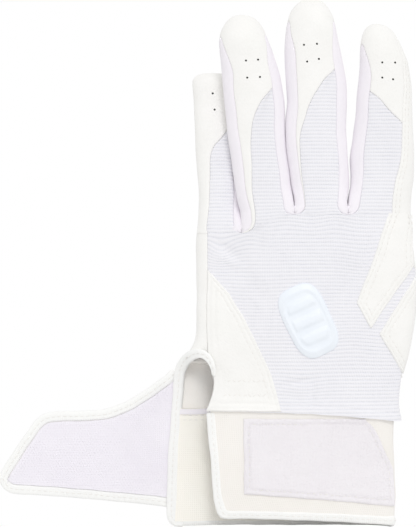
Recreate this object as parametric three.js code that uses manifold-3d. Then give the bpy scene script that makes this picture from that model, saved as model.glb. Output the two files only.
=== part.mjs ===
// Batting glove for the left hand, medium, with its wrist strap laid open.
// Millimetres. X runs from the little finger to the thumb side, Y from the back of the hand to
// the palm, Z from the cuff to the fingertips. The origin is the centre of the wrist opening.
import * as THREE from 'three';
import { mergeVertices } from 'three/addons/utils/BufferGeometryUtils.js';
import Module from 'manifold-3d';

const wasm = await Module();
wasm.setup();

// Sewn layers
const seamGap = 0.3; // between pieces that touch
const hingeGap = 0.4; // between the hand and a finger root
const overrun = 4; // how far a cutting solid passes what it cuts
const leather = 1.0;
const knit = 0.9;
const gussetKnit = 0.8;
const patchLeather = 0.8;
const foam = 1.9;
const liningCloth = 0.6;
const tape = 3.1; // full thickness of an edge tape round the foam
const elasticCloth = 0.8;

// Hand
const cuffHeight = 49.2;
const handLength = 82.7; // cuff to the knuckle line
const palmWidth = 90;
const handShift = 8.8; // the hand's centre lies this far towards the thumb
const palmDepth = 18.8;
const pinkyDrop = 7.2; // the little finger's root lies lower
const pinkyDip = 5; // and nearer the palm
const pinkyWidth = 19.3;
const pinkySide = 19.6; // width of the hand's edge below the little finger
const dipWidth = 17; // over which the hand bends down to that dip
const dipRise = 62; // and the height over which it grows
const wrapShow = 4.6; // palm leather seen on the back, little finger side
const indexWrapShow = 8.8; // the same beside the index finger
const thumbMouth = 39; // height of the hole for the thumb
const thumbMouthBase = 63;

// Slit at the wrist
const slitTop = 71.5;
const slitBulge = 2.5;
const unrollHeight = 5;
const flapReach = 5.6; // palm leather past the hand's edge, towards the strap
const flapRise = 5.7; // how far behind the middle plane the flap lies

// Cuff
const cuffWidth = 82.7;
const cuffShift = 5.2;
const cuffDepth = 16.8;
const cuffEdgeTop = 4.6; // the free edge's distance from the cuff's side, at the top
const cuffEdgeBase = 10.6;
const tapeWidth = 3.3;
const loopLeft = 19.6;
const loopHeight = 32;
const loopWidth = 61.5;
const loopBase = 11;
const loopSlant = 8.4;
const loopCloth = 0.8;
const elasticBase = 55.5;
const elasticHeight = 7.5;
const bandWidth = 4.4;

// Strap
const strapLength = 73.5;
const strapRootHeight = 59;
const strapBase = 8;
const strapLean = 3;
const strapFace = 5.2;
const strapWeb = 1.6;
const hookCloth = 0.8;

// Fingers: the share of the length at which each row of shares is given, and the root's place as
// a share of the palm's width from its middle
const stationShares = [0, 0.3, 0.55, 0.75, 0.88, 1];
const depthShares = [1.1, 1.03, 1, 0.98, 0.95, 0.92];
const sectionPower = 2.3;
const gussetShow = 4.4;
const tipDepth = 2.4;
const ventRadius = 0.55;
const knuckle = cuffHeight + handLength;
const tipShares = [0.35, 0.6, 0.78, 0.9, 0.975];
const gussetTopShare = 0.5;
const gussetFadeShare = 0.7;
const gussetTipShare = 0.22;
const palmGussetAngle = THREE.MathUtils.degToRad(28);
const wrapStationShares = [0, 0.15, 0.33, 0.45, 0.8, 0.95, 1];
const wrapShares = [1, 0.92, 0.66, 0.6, 0.3, 0.12, 0.1];
const wrapLimitShare = 0.3;
const pointedShare = 0.012; // how far below the knit's top its seam starts to close

const fingers = {
  ring: {
    length: 82.7, width: 25.2, depth: 13.2, rootShare: -0.1744, tipRound: 14.7, tipPower: 2,
    widthShares: [0.883, 0.92, 0.993, 0.917, 0.843, 0.767],
    leanShares: [0, -0.125, -0.208, -0.3, -0.367, -0.392],
    seamShares: [0.1, 0.27, 0.33, 0.41, 0.53, 0.67, 0.85, 1],
    seamStationShares: [0, 0.32, 0.396, 0.462, 0.513, 0.553, 0.584, 0.614],
    knitSide: 'right', leftSide: 'gusset', rightSide: 'gusset',
    ventX: -5.8, ventHeight: 60.5, ventSpread: 5.2, ventRise: 7.1,
  },
  middle: {
    length: 89.5, width: 25.2, depth: 13.2, rootShare: 0.0756, tipRound: 16, tipPower: 2,
    widthShares: [0.857, 0.985, 1, 0.967, 0.9, 0.8],
    leanShares: [0, -0.041, -0.07, -0.12, -0.145, -0.153],
    seamShares: [0.1, 0.14, 0.2, 0.25, 0.39, 0.55, 0.73, 1],
    seamStationShares: [0, 0.33, 0.437, 0.484, 0.54, 0.582, 0.624, 0.667],
    knitSide: 'right', leftSide: 'gusset', rightSide: 'gusset',
    ventX: -3.6, ventHeight: 67.6, ventSpread: 5.2, ventRise: 6.3,
  },
  index: {
    length: 79, width: 26.7, depth: 13.2, rootShare: 0.35, tipRound: 14.5, tipPower: 2,
    widthShares: [0.975, 1, 0.906, 0.796, 0.692, 0.582],
    leanShares: [0, 0.05, 0.082, 0.079, 0.05, 0],
    seamShares: [1, 0.79, 0.54, 0.29, 0],
    seamStationShares: [0.473, 0.505, 0.548, 0.6, 0.638],
    knitSide: 'left', leftSide: 'gusset', rightSide: 'leather',
    ventX: 3.9, ventHeight: 59.6, ventSpread: 5.1, ventRise: 6.5,
  },
  pinky: {
    length: 65.9, width: pinkyWidth, depth: 10.4, rootShare: -0.39, tipRound: 6, tipPower: 3,
    widthShares: [0.97, 0.948, 0.97, 1, 1, 1],
    leanShares: [0, -0.007, -0.033, -0.061, -0.087, -0.104],
    seamShares: [0.31, 0.48, 0.56, 0.76, 1],
    seamStationShares: [0, 0.446, 0.53, 0.586, 0.669],
    knitSide: 'right', leftSide: 'edge', rightSide: 'gusset',
    ventX: 0.2, ventHeight: 55.2, ventSpread: 5.2, ventRise: 7,
    drop: pinkyDrop, dip: pinkyDip, tiltShare: 0.118,
  },
};

// Thumb, folded behind the palm. Its mouth runs along the hand's side.
const thumbFootShare = 0.4478;
const thumbCrotchShare = 0.5122;
const thumbFoot = new THREE.Vector2(handShift + thumbFootShare * palmWidth, thumbMouthBase);
const thumbCrotch = new THREE.Vector2(
  handShift + thumbCrotchShare * palmWidth,
  thumbMouthBase + thumbMouth,
);
const thumbUpperLength = 42;
const thumbTipWidth = 26;
const thumbAngle = THREE.MathUtils.degToRad(52);
const thumbDepth = 11;
const thumbClearance = 0.6;

// Badge, a plain rounded lozenge with three ridges
const badgeWidth = 19;
const badgeHeight = 31;
const badgeX = 10.1;
const badgeZ = 87;
const badgeTilt = THREE.MathUtils.degToRad(25);
const badgeThickness = 1.0;
const badgeRidge = 0.5;
const ridgeWidth = 2.2;

const materials = {
  leather: { color: '#f6f5f1', roughness: 0.55 },
  knit: { color: '#efeff4', roughness: 0.85 },
  gusset: { color: '#f2edf3', roughness: 0.8 },
  cuff: { color: '#f6f2ec', roughness: 0.8 },
  loop: { color: '#f1edf1', roughness: 0.95 },
  hook: { color: '#f1eff6', roughness: 0.75 },
  tape: { color: '#f8f8f6', roughness: 0.75 },
  lining: { color: '#efe4d0', roughness: 0.85 },
  elastic: { color: '#f0eeea', roughness: 0.8 },
  rubber: { color: '#eaf2fc', roughness: 0.45 },
};

const glove = new THREE.Group();

function addPiece(name, finish, geometry, parent = glove) {
  const material = new THREE.MeshStandardMaterial({ ...materials[finish], metalness: 0 });
  material.name = finish;
  const mesh = new THREE.Mesh(geometry, material);
  mesh.name = name;
  parent.add(mesh);
  return mesh;
}

// Smooth curve through values given at stations
function through(stations, values) {
  const slopes = values.map((value, i) => {
    const before = Math.max(i - 1, 0);
    const after = Math.min(i + 1, values.length - 1);
    return (values[after] - values[before]) / (stations[after] - stations[before]);
  });
  return (t) => {
    const last = stations.length - 2;
    let i = 0;
    while (i < last && t > stations[i + 1]) i += 1;
    const span = stations[i + 1] - stations[i];
    const s = THREE.MathUtils.clamp((t - stations[i]) / span, 0, 1);
    const rise = values[i + 1] - values[i];
    const start = slopes[i] * span;
    const end = slopes[i + 1] * span;
    return values[i] + s * (start + s * (3 * rise - 2 * start - end + s * (start + end - 2 * rise)));
  };
}

function steps(from, to, count) {
  return Array.from({ length: count + 1 }, (_, i) => from + ((to - from) * i) / count);
}

const smooth = (t) => THREE.MathUtils.smoothstep(t, 0, 1);
const mix = THREE.MathUtils.lerp;
const signedPower = (value, power) => Math.sign(value) * Math.abs(value) ** power;

// Closed sheet between an outer and an inner grid of points, rows of equal length
function closedSheet(outer, inner) {
  const rows = outer.length;
  const columns = outer[0].length;
  const positions = [outer, inner].flat(2).flatMap((p) => [p.x, p.y, p.z]);
  const at = (layer, r, c) => layer * rows * columns + r * columns + c;
  const index = [];
  const quad = (a, b, c, d) => index.push(a, b, c, a, c, d);
  for (let r = 0; r < rows - 1; r += 1) {
    for (let c = 0; c < columns - 1; c += 1) {
      quad(at(0, r, c), at(0, r, c + 1), at(0, r + 1, c + 1), at(0, r + 1, c));
      quad(at(1, r, c), at(1, r + 1, c), at(1, r + 1, c + 1), at(1, r, c + 1));
    }
    quad(at(0, r, 0), at(0, r + 1, 0), at(1, r + 1, 0), at(1, r, 0));
    const c = columns - 1;
    quad(at(0, r, c), at(1, r, c), at(1, r + 1, c), at(0, r + 1, c));
  }
  for (let c = 0; c < columns - 1; c += 1) {
    quad(at(0, 0, c), at(1, 0, c), at(1, 0, c + 1), at(0, 0, c + 1));
    const r = rows - 1;
    quad(at(0, r, c), at(0, r, c + 1), at(1, r, c + 1), at(1, r, c));
  }
  const geometry = new THREE.BufferGeometry();
  geometry.setAttribute('position', new THREE.Float32BufferAttribute(positions, 3));
  geometry.setIndex(index);
  return facingOut(geometry);
}

function facingOut(geometry) {
  const p = geometry.getAttribute('position');
  const index = geometry.getIndex();
  const corner = (i) => new THREE.Vector3().fromBufferAttribute(p, index.getX(i));
  let volume = 0;
  for (let i = 0; i < index.count; i += 3) {
    volume += corner(i).dot(corner(i + 1).cross(corner(i + 2)));
  }
  if (volume < 0) {
    for (let i = 0; i < index.count; i += 3) {
      const second = index.getX(i + 1);
      index.setX(i + 1, index.getX(i + 2));
      index.setX(i + 2, second);
    }
  }
  return geometry;
}

function toSolid(geometry) {
  const bare = geometry.clone();
  bare.deleteAttribute('normal');
  bare.deleteAttribute('uv');
  const merged = mergeVertices(bare);
  return new wasm.Manifold(new wasm.Mesh({
    numProp: 3,
    vertProperties: Float32Array.from(merged.getAttribute('position').array),
    triVerts: Uint32Array.from(merged.getIndex().array),
  }));
}

function fromSolid(solid) {
  const mesh = solid.getMesh();
  const geometry = new THREE.BufferGeometry();
  geometry.setAttribute('position', new THREE.BufferAttribute(mesh.vertProperties, 3));
  geometry.setIndex(new THREE.BufferAttribute(mesh.triVerts, 1));
  return geometry;
}

// Prism along Y over an outline drawn in X and Z
function prism(shape, front, back) {
  const geometry = new THREE.ExtrudeGeometry(shape, {
    depth: back - front,
    bevelEnabled: false,
    curveSegments: 5,
  });
  geometry.rotateX(Math.PI / 2);
  geometry.translate(0, back, 0);
  return toSolid(geometry);
}

function polygon(points) {
  return new THREE.Shape(points.map(([x, z]) => new THREE.Vector2(x, z)));
}

// A flattened tube of cloth. Its left and right edges are curves in X and Z over t, and each
// section between them is a superellipse of the given depth and power. The angle runs from the
// right edge over the palm side to the left edge and back over the back of the hand.
function sleeve({ left, right, depth, power, middle = () => 0, tip = () => 0, face = 1 }) {
  const widthAt = (t) => left(t).distanceTo(right(t));
  function point(angle, t, inset = 0) {
    const a = left(t);
    const b = right(t);
    const half = a.distanceTo(b) / 2 - inset;
    const across = b.clone().sub(a).normalize();
    const centre = a.clone().add(b).multiplyScalar(1 / 2);
    const along = half * signedPower(Math.cos(angle), 2 / power(t));
    const away = (depth(t) / 2 - inset) * signedPower(Math.sin(angle), 2 / power(t));
    const x = centre.x + across.x * along;
    const z = centre.y + across.y * along;
    return new THREE.Vector3(x, face * away + middle(x, z), z - inset * tip(t));
  }
  // Angle of the point on the back that lies a distance from the left edge
  function backAngle(t, distance) {
    const half = widthAt(t) / 2;
    const share = THREE.MathUtils.clamp(distance / half - 1, -1, 1);
    return -Math.acos(signedPower(share, power(t) / 2));
  }
  // Angle moved so that its point moves a distance along the section
  function moved(angle, t, distance) {
    const start = point(angle, t);
    const direction = Math.sign(distance);
    let near = 0;
    let far = 1;
    for (let i = 0; i < 24; i += 1) {
      const trial = (near + far) / 2;
      if (point(angle + direction * trial, t).distanceTo(start) < Math.abs(distance)) near = trial;
      else far = trial;
    }
    return angle + direction * near;
  }
  // A cloth piece between two angles, over rows of t
  function strip(rows, from, to, columns, wall, inset = 0, gap = seamGap / 2) {
    const grid = (depthIn) => rows.map((t) => {
      const start = moved(from(t), t, gap);
      const end = moved(to(t), t, -gap);
      return steps(start, end, columns).map((angle) => point(angle, t, depthIn));
    });
    return closedSheet(grid(inset), grid(inset + wall));
  }
  return { point, backAngle, moved, strip, widthAt };
}

// One finger stall: a leather cap and knit on the back, leather on the palm side, and stretch
// gussets where it faces another finger
function fingerStall(name, finger, shape) {
  const group = new THREE.Group();
  const { point, backAngle, strip, widthAt } = shape;
  const seamAt = through(finger.seamStationShares, finger.seamShares);
  const seamLow = finger.seamStationShares[0];
  const seamHigh = finger.seamStationShares.at(-1);
  const tipStart = finger.tipStartShare;
  const rows = [
    ...steps(0, seamHigh - pointedShare, 8),
    seamHigh,
    ...steps(seamHigh, tipStart, 2).slice(1),
    ...tipShares.map((share) => mix(tipStart, 1, share)),
  ];
  const gussetTop = tipStart + (1 - tipStart) * gussetTopShare;
  const ramp = (t) => {
    const fade = smooth((gussetTop - t) / (gussetTop - gussetFadeShare));
    return mix(gussetTipShare, 1, fade);
  };
  const shown = gussetShow * finger.gussetScale;
  const wrap = through(wrapStationShares, wrapShares.map((share) => share * indexWrapShow));
  const leftDistance = (t) => (finger.leftSide === 'gusset' ? shown * ramp(t) : 0);
  const rightDistance = (t) => {
    if (finger.rightSide === 'gusset') return shown * ramp(t);
    return finger.rightSide === 'leather' ? Math.min(wrap(t), widthAt(t) * wrapLimitShare) : 0;
  };
  const backLeft = (t) => backAngle(t, leftDistance(t));
  const backRight = (t) => backAngle(t, widthAt(t) - rightDistance(t));
  const seam = (t) => {
    const share = THREE.MathUtils.clamp(seamAt(t), 0, 1);
    return backAngle(t, mix(leftDistance(t), widthAt(t) - rightDistance(t), share));
  };
  const palmReach = (t) => palmGussetAngle * ramp(t);
  const palmRight = (t) => (finger.rightSide === 'gusset' ? palmReach(t) : backRight(t));
  const palmLeft = (t) => Math.PI - (finger.leftSide === 'gusset' ? palmReach(t) : 0);

  const onRight = finger.knitSide === 'right';
  const knitRows = rows.filter((t) => t < seamHigh);
  const capStart = seamLow + pointedShare;
  const capRows = onRight ? rows : [capStart, ...rows.filter((t) => t > capStart + pointedShare)];
  const capFrom = (t) => (!onRight && t < seamHigh ? seam(t) : backLeft(t));
  const capTo = (t) => (onRight && t < seamHigh ? seam(t) : backRight(t));
  const knitFrom = (t) => (onRight ? seam(t) : backLeft(t));
  const knitTo = (t) => (onRight || t < seamLow ? backRight(t) : seam(t));

  const cap = toSolid(strip(capRows, capFrom, capTo, 5, leather));
  const vents = finger.vents.map(([x, z]) => {
    const hole = new THREE.CylinderGeometry(ventRadius, ventRadius, shape.depth + 2 * overrun, 6);
    hole.translate(x, shape.middleY, z);
    return toSolid(hole);
  });
  const vented = vents.reduce((solid, vent) => solid.subtract(vent), cap);
  addPiece(`${name}_cap`, 'leather', fromSolid(vented), group);
  addPiece(`${name}_back`, 'knit', strip(knitRows, knitFrom, knitTo, 4, knit), group);
  addPiece(`${name}_palm`, 'leather', strip(rows, palmRight, palmLeft, 8, leather), group);
  const gussetRows = rows.filter((t) => t < gussetTop);
  const onLeft = finger.leftSide === 'gusset';
  const onBoth = onLeft && finger.rightSide === 'gusset';
  if (onLeft) {
    const side = strip(gussetRows, palmLeft, (t) => backLeft(t) + 2 * Math.PI, 4, gussetKnit);
    addPiece(onBoth ? `${name}_gusset_left` : `${name}_gusset`, 'gusset', side, group);
  }
  if (finger.rightSide === 'gusset') {
    const side = strip(gussetRows, backRight, palmRight, 4, gussetKnit);
    addPiece(onBoth ? `${name}_gusset_right` : `${name}_gusset`, 'gusset', side, group);
  }
  return group;
}

// How much of its width and depth a rounded tip keeps at t
function tipRounding(finger) {
  const start = 1 - finger.tipRound / finger.length;
  const keptAt = (q) => (1 - q ** finger.tipPower) ** (1 / finger.tipPower);
  const least = keptAt(tipShares.at(-1));
  const reach = (t) => Math.min(Math.max((t - start) / (1 - start), 0), tipShares.at(-1));
  return {
    start,
    reach,
    width: (t) => keptAt(reach(t)),
    depth: (t) => (keptAt(reach(t)) - least) / (1 - least),
  };
}

function fingerSleeve(finger) {
  const rounding = tipRounding(finger);
  const width = through(stationShares, finger.widthShares.map((share) => share * finger.width));
  const lean = through(stationShares, finger.leanShares.map((share) => share * finger.width));
  const depth = through(stationShares, depthShares.map((share) => share * finger.depth));
  const edge = (side) => (t) => new THREE.Vector2(
    lean(t) + (side * width(t) * rounding.width(t)) / 2,
    t * finger.length,
  );
  const tilt = finger.tiltShare ?? 0;
  finger.tipStartShare = rounding.start;
  return {
    ...sleeve({
      left: edge(-1),
      right: edge(1),
      depth: (t) => mix(tipDepth, depth(t), rounding.depth(t)),
      power: () => sectionPower,
      middle: (x, z) => tilt * z,
      tip: (t) => rounding.reach(t) ** 2,
    }),
    depth: finger.depth,
    middleY: tilt * finger.ventHeight,
  };
}

for (const [name, finger] of Object.entries(fingers)) {
  const shape = fingerSleeve(finger);
  finger.gussetScale = finger.width / fingers.ring.width;
  finger.vents = [-1, 1].flatMap((side) => [-1, 1].map((row) => [
    finger.ventX + (side * finger.ventSpread) / 2,
    finger.ventHeight + (row * finger.ventRise) / 2,
  ]));
  // The holes go through the back only
  shape.middleY -= shape.depth / 2 + overrun;
  const group = fingerStall(name, finger, shape);
  group.position.set(
    handShift + finger.rootShare * palmWidth,
    finger.dip ?? 0,
    knuckle - (finger.drop ?? 0) + hingeGap / 2,
  );
  glove.add(group);
}

// Thumb stall
const thumbDirection = new THREE.Vector2(-Math.sin(thumbAngle), Math.cos(thumbAngle));
const thumbAcross = new THREE.Vector2(-thumbDirection.y, thumbDirection.x);
const thumbUpperEnd = thumbCrotch.clone().addScaledVector(thumbDirection, thumbUpperLength);
const thumbLowerEnd = thumbUpperEnd.clone().addScaledVector(thumbAcross, thumbTipWidth);
const thumb = {
  length: thumbUpperLength, tipRound: 13, tipPower: 2, gussetScale: 1,
  seamShares: [0.14, 0.3, 0.55, 1], seamStationShares: [0, 0.35, 0.5, 0.6],
  knitSide: 'right', leftSide: 'gusset', rightSide: 'edge', vents: [],
};
const thumbRounding = tipRounding(thumb);
thumb.tipStartShare = thumbRounding.start;
function thumbEdge(own, other) {
  return (t) => {
    const mine = own[0].clone().lerp(own[1], t);
    const theirs = other[0].clone().lerp(other[1], t);
    const centre = mine.clone().add(theirs).multiplyScalar(1 / 2);
    return centre.lerp(mine, thumbRounding.width(t));
  };
}
const thumbUpper = [thumbCrotch, thumbUpperEnd];
const thumbLower = [thumbFoot, thumbLowerEnd];
const thumbShape = {
  ...sleeve({
    left: thumbEdge(thumbUpper, thumbLower),
    right: thumbEdge(thumbLower, thumbUpper),
    depth: (t) => mix(tipDepth, thumbDepth, thumbRounding.depth(t)),
    power: () => sectionPower,
    face: -1,
  }),
  depth: thumbDepth,
  middleY: 0,
};
const thumbGroup = fingerStall('thumb', thumb, thumbShape);
thumbGroup.position.y = palmDepth / 2 + thumbClearance + thumbDepth / 2;
glove.add(thumbGroup);

// Hand. Stations are shares of the hand's length, edges are shares of half the palm's width.
const handStationShares = [0, 0.1, 0.2, 0.3, 0.4, 0.5, 0.6, 0.7, 0.8, 0.9, 1];
const handRightShares = [
  0.887, 0.882, 0.905, 0.966, 1.003, 1.027, 1.036, 1.036, 1.022, 0.999, 0.989,
];
const handLeftShares = [1, 1, 1, 1.006, 1.008, 1.004, 1, 1, 1, 0.998, 0.99];
const handDepthShares = [0.9, 0.9, 0.92, 0.96, 1, 1, 1, 1, 0.98, 0.94, 0.9];
const wristPower = 4;
const knucklePower = 2.6;
const handRight = through(handStationShares, handRightShares);
const handLeft = through(handStationShares, handLeftShares);
const handDepth = through(handStationShares, handDepthShares);
const handEdge = (side, shares) => (t) => new THREE.Vector2(
  handShift + (side * palmWidth * shares(t)) / 2,
  cuffHeight + t * handLength,
);
const handLeftX = handShift - palmWidth / 2;
const notchX = handLeftX + pinkySide;
const dipAt = (x, z) => {
  const aside = 1 - smooth((x - notchX + dipWidth / 2) / dipWidth);
  return pinkyDip * aside * smooth((z - knuckle + dipRise) / dipRise);
};
const hand = sleeve({
  left: handEdge(-1, handLeft),
  right: handEdge(1, handRight),
  depth: (t) => palmDepth * handDepth(t),
  power: (t) => mix(wristPower, knucklePower, t),
  middle: dipAt,
});
const handShare = (z) => (z - cuffHeight) / handLength;
const sideSeamStationShares = [0.7, 0.73, 0.8, 0.9, 1];
const sideSeamShares = [0.02, 0.4, 0.8, 0.9, 0.95];
const sideSeam = through(sideSeamStationShares, sideSeamShares);
const sideSeamStart = sideSeamStationShares[0];
const mouthBase = handShare(thumbMouthBase);
const mouthTop = handShare(thumbMouthBase + thumbMouth);

const slitRise = slitTop - cuffHeight;
const slitShape = (z) => {
  const share = THREE.MathUtils.clamp((z - cuffHeight) / slitRise, 0, 1);
  return slitBulge * Math.sin(Math.PI * share);
};
const backFrom = (t) => hand.backAngle(t, wrapShow + slitShape(cuffHeight + t * handLength));
const backTo = (t) => {
  const shown = indexWrapShow * sideSeam(Math.max(t, sideSeamStart));
  return t < sideSeamStart ? 0 : hand.backAngle(t, hand.widthAt(t) - shown);
};
const handRows = [
  cuffHeight + seamGap, mix(cuffHeight, slitTop - unrollHeight, 1 / 2),
  ...steps(slitTop - unrollHeight, slitTop, 5),
  ...steps(slitTop, knuckle - hingeGap / 2, 12).slice(1),
].map(handShare);
const backColumns = 12;

const pinkyNotch = prism(polygon([
  [handLeftX - overrun, knuckle - pinkyDrop - hingeGap / 2],
  [notchX, knuckle - pinkyDrop - hingeGap / 2],
  [notchX, knuckle + overrun],
  [handLeftX - overrun, knuckle + overrun],
]), -palmDepth, palmDepth);

const backPanel = toSolid(hand.strip(handRows, backFrom, backTo, backColumns, knit));
addPiece('back_panel', 'knit', fromSolid(backPanel.subtract(pinkyNotch)));

// Leather and rubber laid on the back panel, cut to an outline of shares of the hand
function onHand(shares) {
  return polygon(shares.map(([x, z]) => [handShift + x * palmWidth, cuffHeight + z * handLength]));
}
function overlay(outline, thickness) {
  const layer = hand.strip(handRows, backFrom, backTo, backColumns, thickness, -seamGap - thickness);
  return toSolid(layer).intersect(prism(outline, -2 * palmDepth, palmDepth / 2));
}

const wristPatchShares = [
  [-0.52, 0.705], [-0.448, 0.71], [-0.345, 0.589], [-0.275, 0.467],
  [-0.219, 0.325], [-0.159, 0.187], [-0.084, -0.1], [-0.52, -0.1],
];
const upperPatchShares = [
  [0.397, 1.1], [0.397, 1.025], [0.238, 0.548], [0.303, 0.416], [0.509, 0.746], [0.6, 1.1],
];
const lowerPatchShares = [
  [0.341, 0.39], [0.513, 0.68], [0.6, 0.68], [0.6, 0.182], [0.453, 0.182],
];
addPiece('pinky_side_patch', 'leather', fromSolid(overlay(onHand(wristPatchShares), patchLeather)));
addPiece('thumb_patch_upper', 'leather', fromSolid(overlay(onHand(upperPatchShares), patchLeather)));
addPiece('thumb_patch_lower', 'leather', fromSolid(overlay(onHand(lowerPatchShares), patchLeather)));

// Badge
const cornerShare = 0.32;
function badgeOutline(width, height, shiftZ) {
  const corner = cornerShare * Math.min(width, height);
  const local = [
    [-width / 2, corner - height / 2], [corner - width / 2, -height / 2],
    [width / 2 - corner, -height / 2], [width / 2, corner - height / 2],
    [width / 2, height / 2 - corner], [width / 2 - corner, height / 2],
    [corner - width / 2, height / 2], [-width / 2, height / 2 - corner],
  ];
  return polygon(local.map(([x, z]) => {
    const turned = new THREE.Vector2(x, z + shiftZ).rotateAround(new THREE.Vector2(), badgeTilt);
    return [badgeX + turned.x, badgeZ + turned.y];
  }));
}
const badgeBase = overlay(badgeOutline(badgeWidth, badgeHeight, 0), badgeThickness);
const ridgeLength = badgeWidth - 2 * ridgeWidth;
const ridges = [-1, 0, 1].map((side) => overlay(
  badgeOutline(ridgeLength, ridgeWidth, (side * badgeHeight) / 4),
  badgeThickness + badgeRidge,
));
addPiece('badge', 'rubber', fromSolid(ridges.reduce((solid, ridge) => solid.add(ridge), badgeBase)));

// Palm panel: it wraps round the little finger side to the seam on the back, and at the slit it
// unrolls into a flat flap that reaches the strap
const rolledAt = (z) => smooth((z - slitTop + unrollHeight) / unrollHeight);
const flapEnd = new THREE.Vector2(handLeftX - flapReach, flapRise);
const flapAngle = THREE.MathUtils.degToRad(122);
const lastArcAngle = THREE.MathUtils.degToRad(3.4);
const mouthAngle = THREE.MathUtils.degToRad(34);
const mouthFadeShare = 0.06;
const palmFrom = (t) => {
  if (t > sideSeamStart) return backTo(t);
  const open = smooth((t - mouthBase) / mouthFadeShare) * smooth((mouthTop - t) / mouthFadeShare);
  return mouthAngle * open;
};
const palmGrid = (depthIn) => handRows.map((t) => {
  const seam = hand.moved(backFrom(t) + 2 * Math.PI, t, -seamGap / 2);
  const roll = rolledAt(cuffHeight + t * handLength);
  const start = hand.moved(palmFrom(t), t, seamGap / 2);
  const arcEnd = mix(flapAngle, seam - lastArcAngle, roll);
  const arc = steps(start, arcEnd, 14).map((angle) => hand.point(angle, t, depthIn));
  const turn = Math.PI * roll;
  const flat = new THREE.Vector3(
    flapEnd.x + depthIn * Math.sin(turn),
    flapEnd.y - depthIn * Math.cos(turn),
    arc[0].z,
  );
  return [...arc, flat.lerp(hand.point(seam, t, depthIn), roll)];
});
const palm = toSolid(closedSheet(palmGrid(0), palmGrid(leather)));
addPiece('palm_panel', 'leather', fromSolid(palm.subtract(pinkyNotch)));

// Elastic under the zigzag stitches, inside the back of the wrist
const elasticRows = steps(handShare(elasticBase), handShare(elasticBase + elasticHeight), 2);
const elasticEndAngle = THREE.MathUtils.degToRad(8);
const elasticFrom = (t) => backFrom(t) + elasticEndAngle;
const elasticTo = () => -elasticEndAngle;
const elastic = hand.strip(elasticRows, elasticFrom, elasticTo, 10, elasticCloth, knit + seamGap);
addPiece('wrist_elastic', 'elastic', elastic);

// Cuff
const cuffLeft = cuffShift - cuffWidth / 2;
const cuffRight = cuffShift + cuffWidth / 2;
const cuffTop = cuffHeight - seamGap;
const cuff = sleeve({
  left: (z) => new THREE.Vector2(cuffLeft, z),
  right: (z) => new THREE.Vector2(cuffRight, z),
  depth: () => cuffDepth,
  power: () => wristPower,
});
const tapeProud = (tape - foam) / 2;
const cuffRows = steps(0, cuffTop, 4);
const cuffStartAngle = THREE.MathUtils.degToRad(12);
const wholeBack = () => cuffStartAngle - Math.PI;
const cuffFold = () => 0;
const backLayer = (wall, inset, gap = seamGap / 2) => (
  toSolid(cuff.strip(cuffRows, wholeBack, cuffFold, 12, wall, inset, gap))
);
const freeEdgeStationShares = [0, 0.12, 0.3, 1];
const freeEdgeShares = [1, 0.72, 0.4, 0];
const freeEdge = through(freeEdgeStationShares, freeEdgeShares);
function cuffOutline(margin) {
  const edge = steps(margin, cuffTop + overrun, 8).map((z) => [
    cuffLeft + mix(cuffEdgeTop, cuffEdgeBase, freeEdge(Math.min(z / cuffTop, 1))) + margin,
    z,
  ]);
  return polygon([[cuffRight + overrun, margin], ...edge, [cuffRight + overrun, cuffTop + overrun]]);
}
const cuffCut = (margin) => prism(cuffOutline(margin), -cuffDepth, 0);
addPiece('cuff_back', 'cuff', fromSolid(backLayer(foam, 0).intersect(cuffCut(tapeWidth + seamGap))));
const cuffTape = backLayer(tape, -tapeProud).intersect(cuffCut(0)).subtract(cuffCut(tapeWidth));
addPiece('cuff_back_binding', 'tape', fromSolid(cuffTape));
const loopX = cuffLeft + loopLeft;
const loopBendShare = 0.333;
const loopOutline = polygon([
  [loopX, loopBase], [loopX + loopWidth, loopBase],
  [loopX + loopWidth - loopBendShare * loopSlant, loopBase + loopBendShare * loopHeight],
  [loopX + loopWidth - loopSlant, loopBase + loopHeight], [loopX, loopBase + loopHeight],
]);
const loopLayer = backLayer(loopCloth, -seamGap - loopCloth);
addPiece('loop_patch', 'loop', fromSolid(loopLayer.intersect(prism(loopOutline, -cuffDepth, 0))));

function cuffSheet(from, to, wall, inset) {
  const grid = (depthIn) => steps(from, to, 2).map((z) => {
    const start = cuff.moved(0, z, seamGap / 2);
    const arc = steps(start, flapAngle, 10).map((angle) => cuff.point(angle, z, depthIn));
    return [...arc, new THREE.Vector3(flapEnd.x, flapEnd.y - depthIn, z)];
  });
  return closedSheet(grid(inset), grid(inset + wall));
}
addPiece('cuff_palm', 'cuff', cuffSheet(tapeWidth + seamGap, cuffTop, foam, 0));
addPiece('cuff_palm_binding', 'tape', cuffSheet(0, tapeWidth, tape, -tapeProud));
addPiece('cuff_lining', 'lining', cuffSheet(tapeWidth + seamGap, cuffTop, liningCloth, foam + seamGap));

// Edge tape down the strap's root
const bandRight = flapEnd.x - seamGap;
const bandTop = slitTop - unrollHeight - seamGap;
const bandOutline = polygon([
  [bandRight, 0], [bandRight, bandTop], [bandRight - bandWidth, bandTop], [bandRight - bandWidth, 0],
]);
const band = prism(bandOutline, flapEnd.y - tape + tapeProud, flapEnd.y + tapeProud);
addPiece('slit_binding', 'tape', fromSolid(band));

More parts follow.
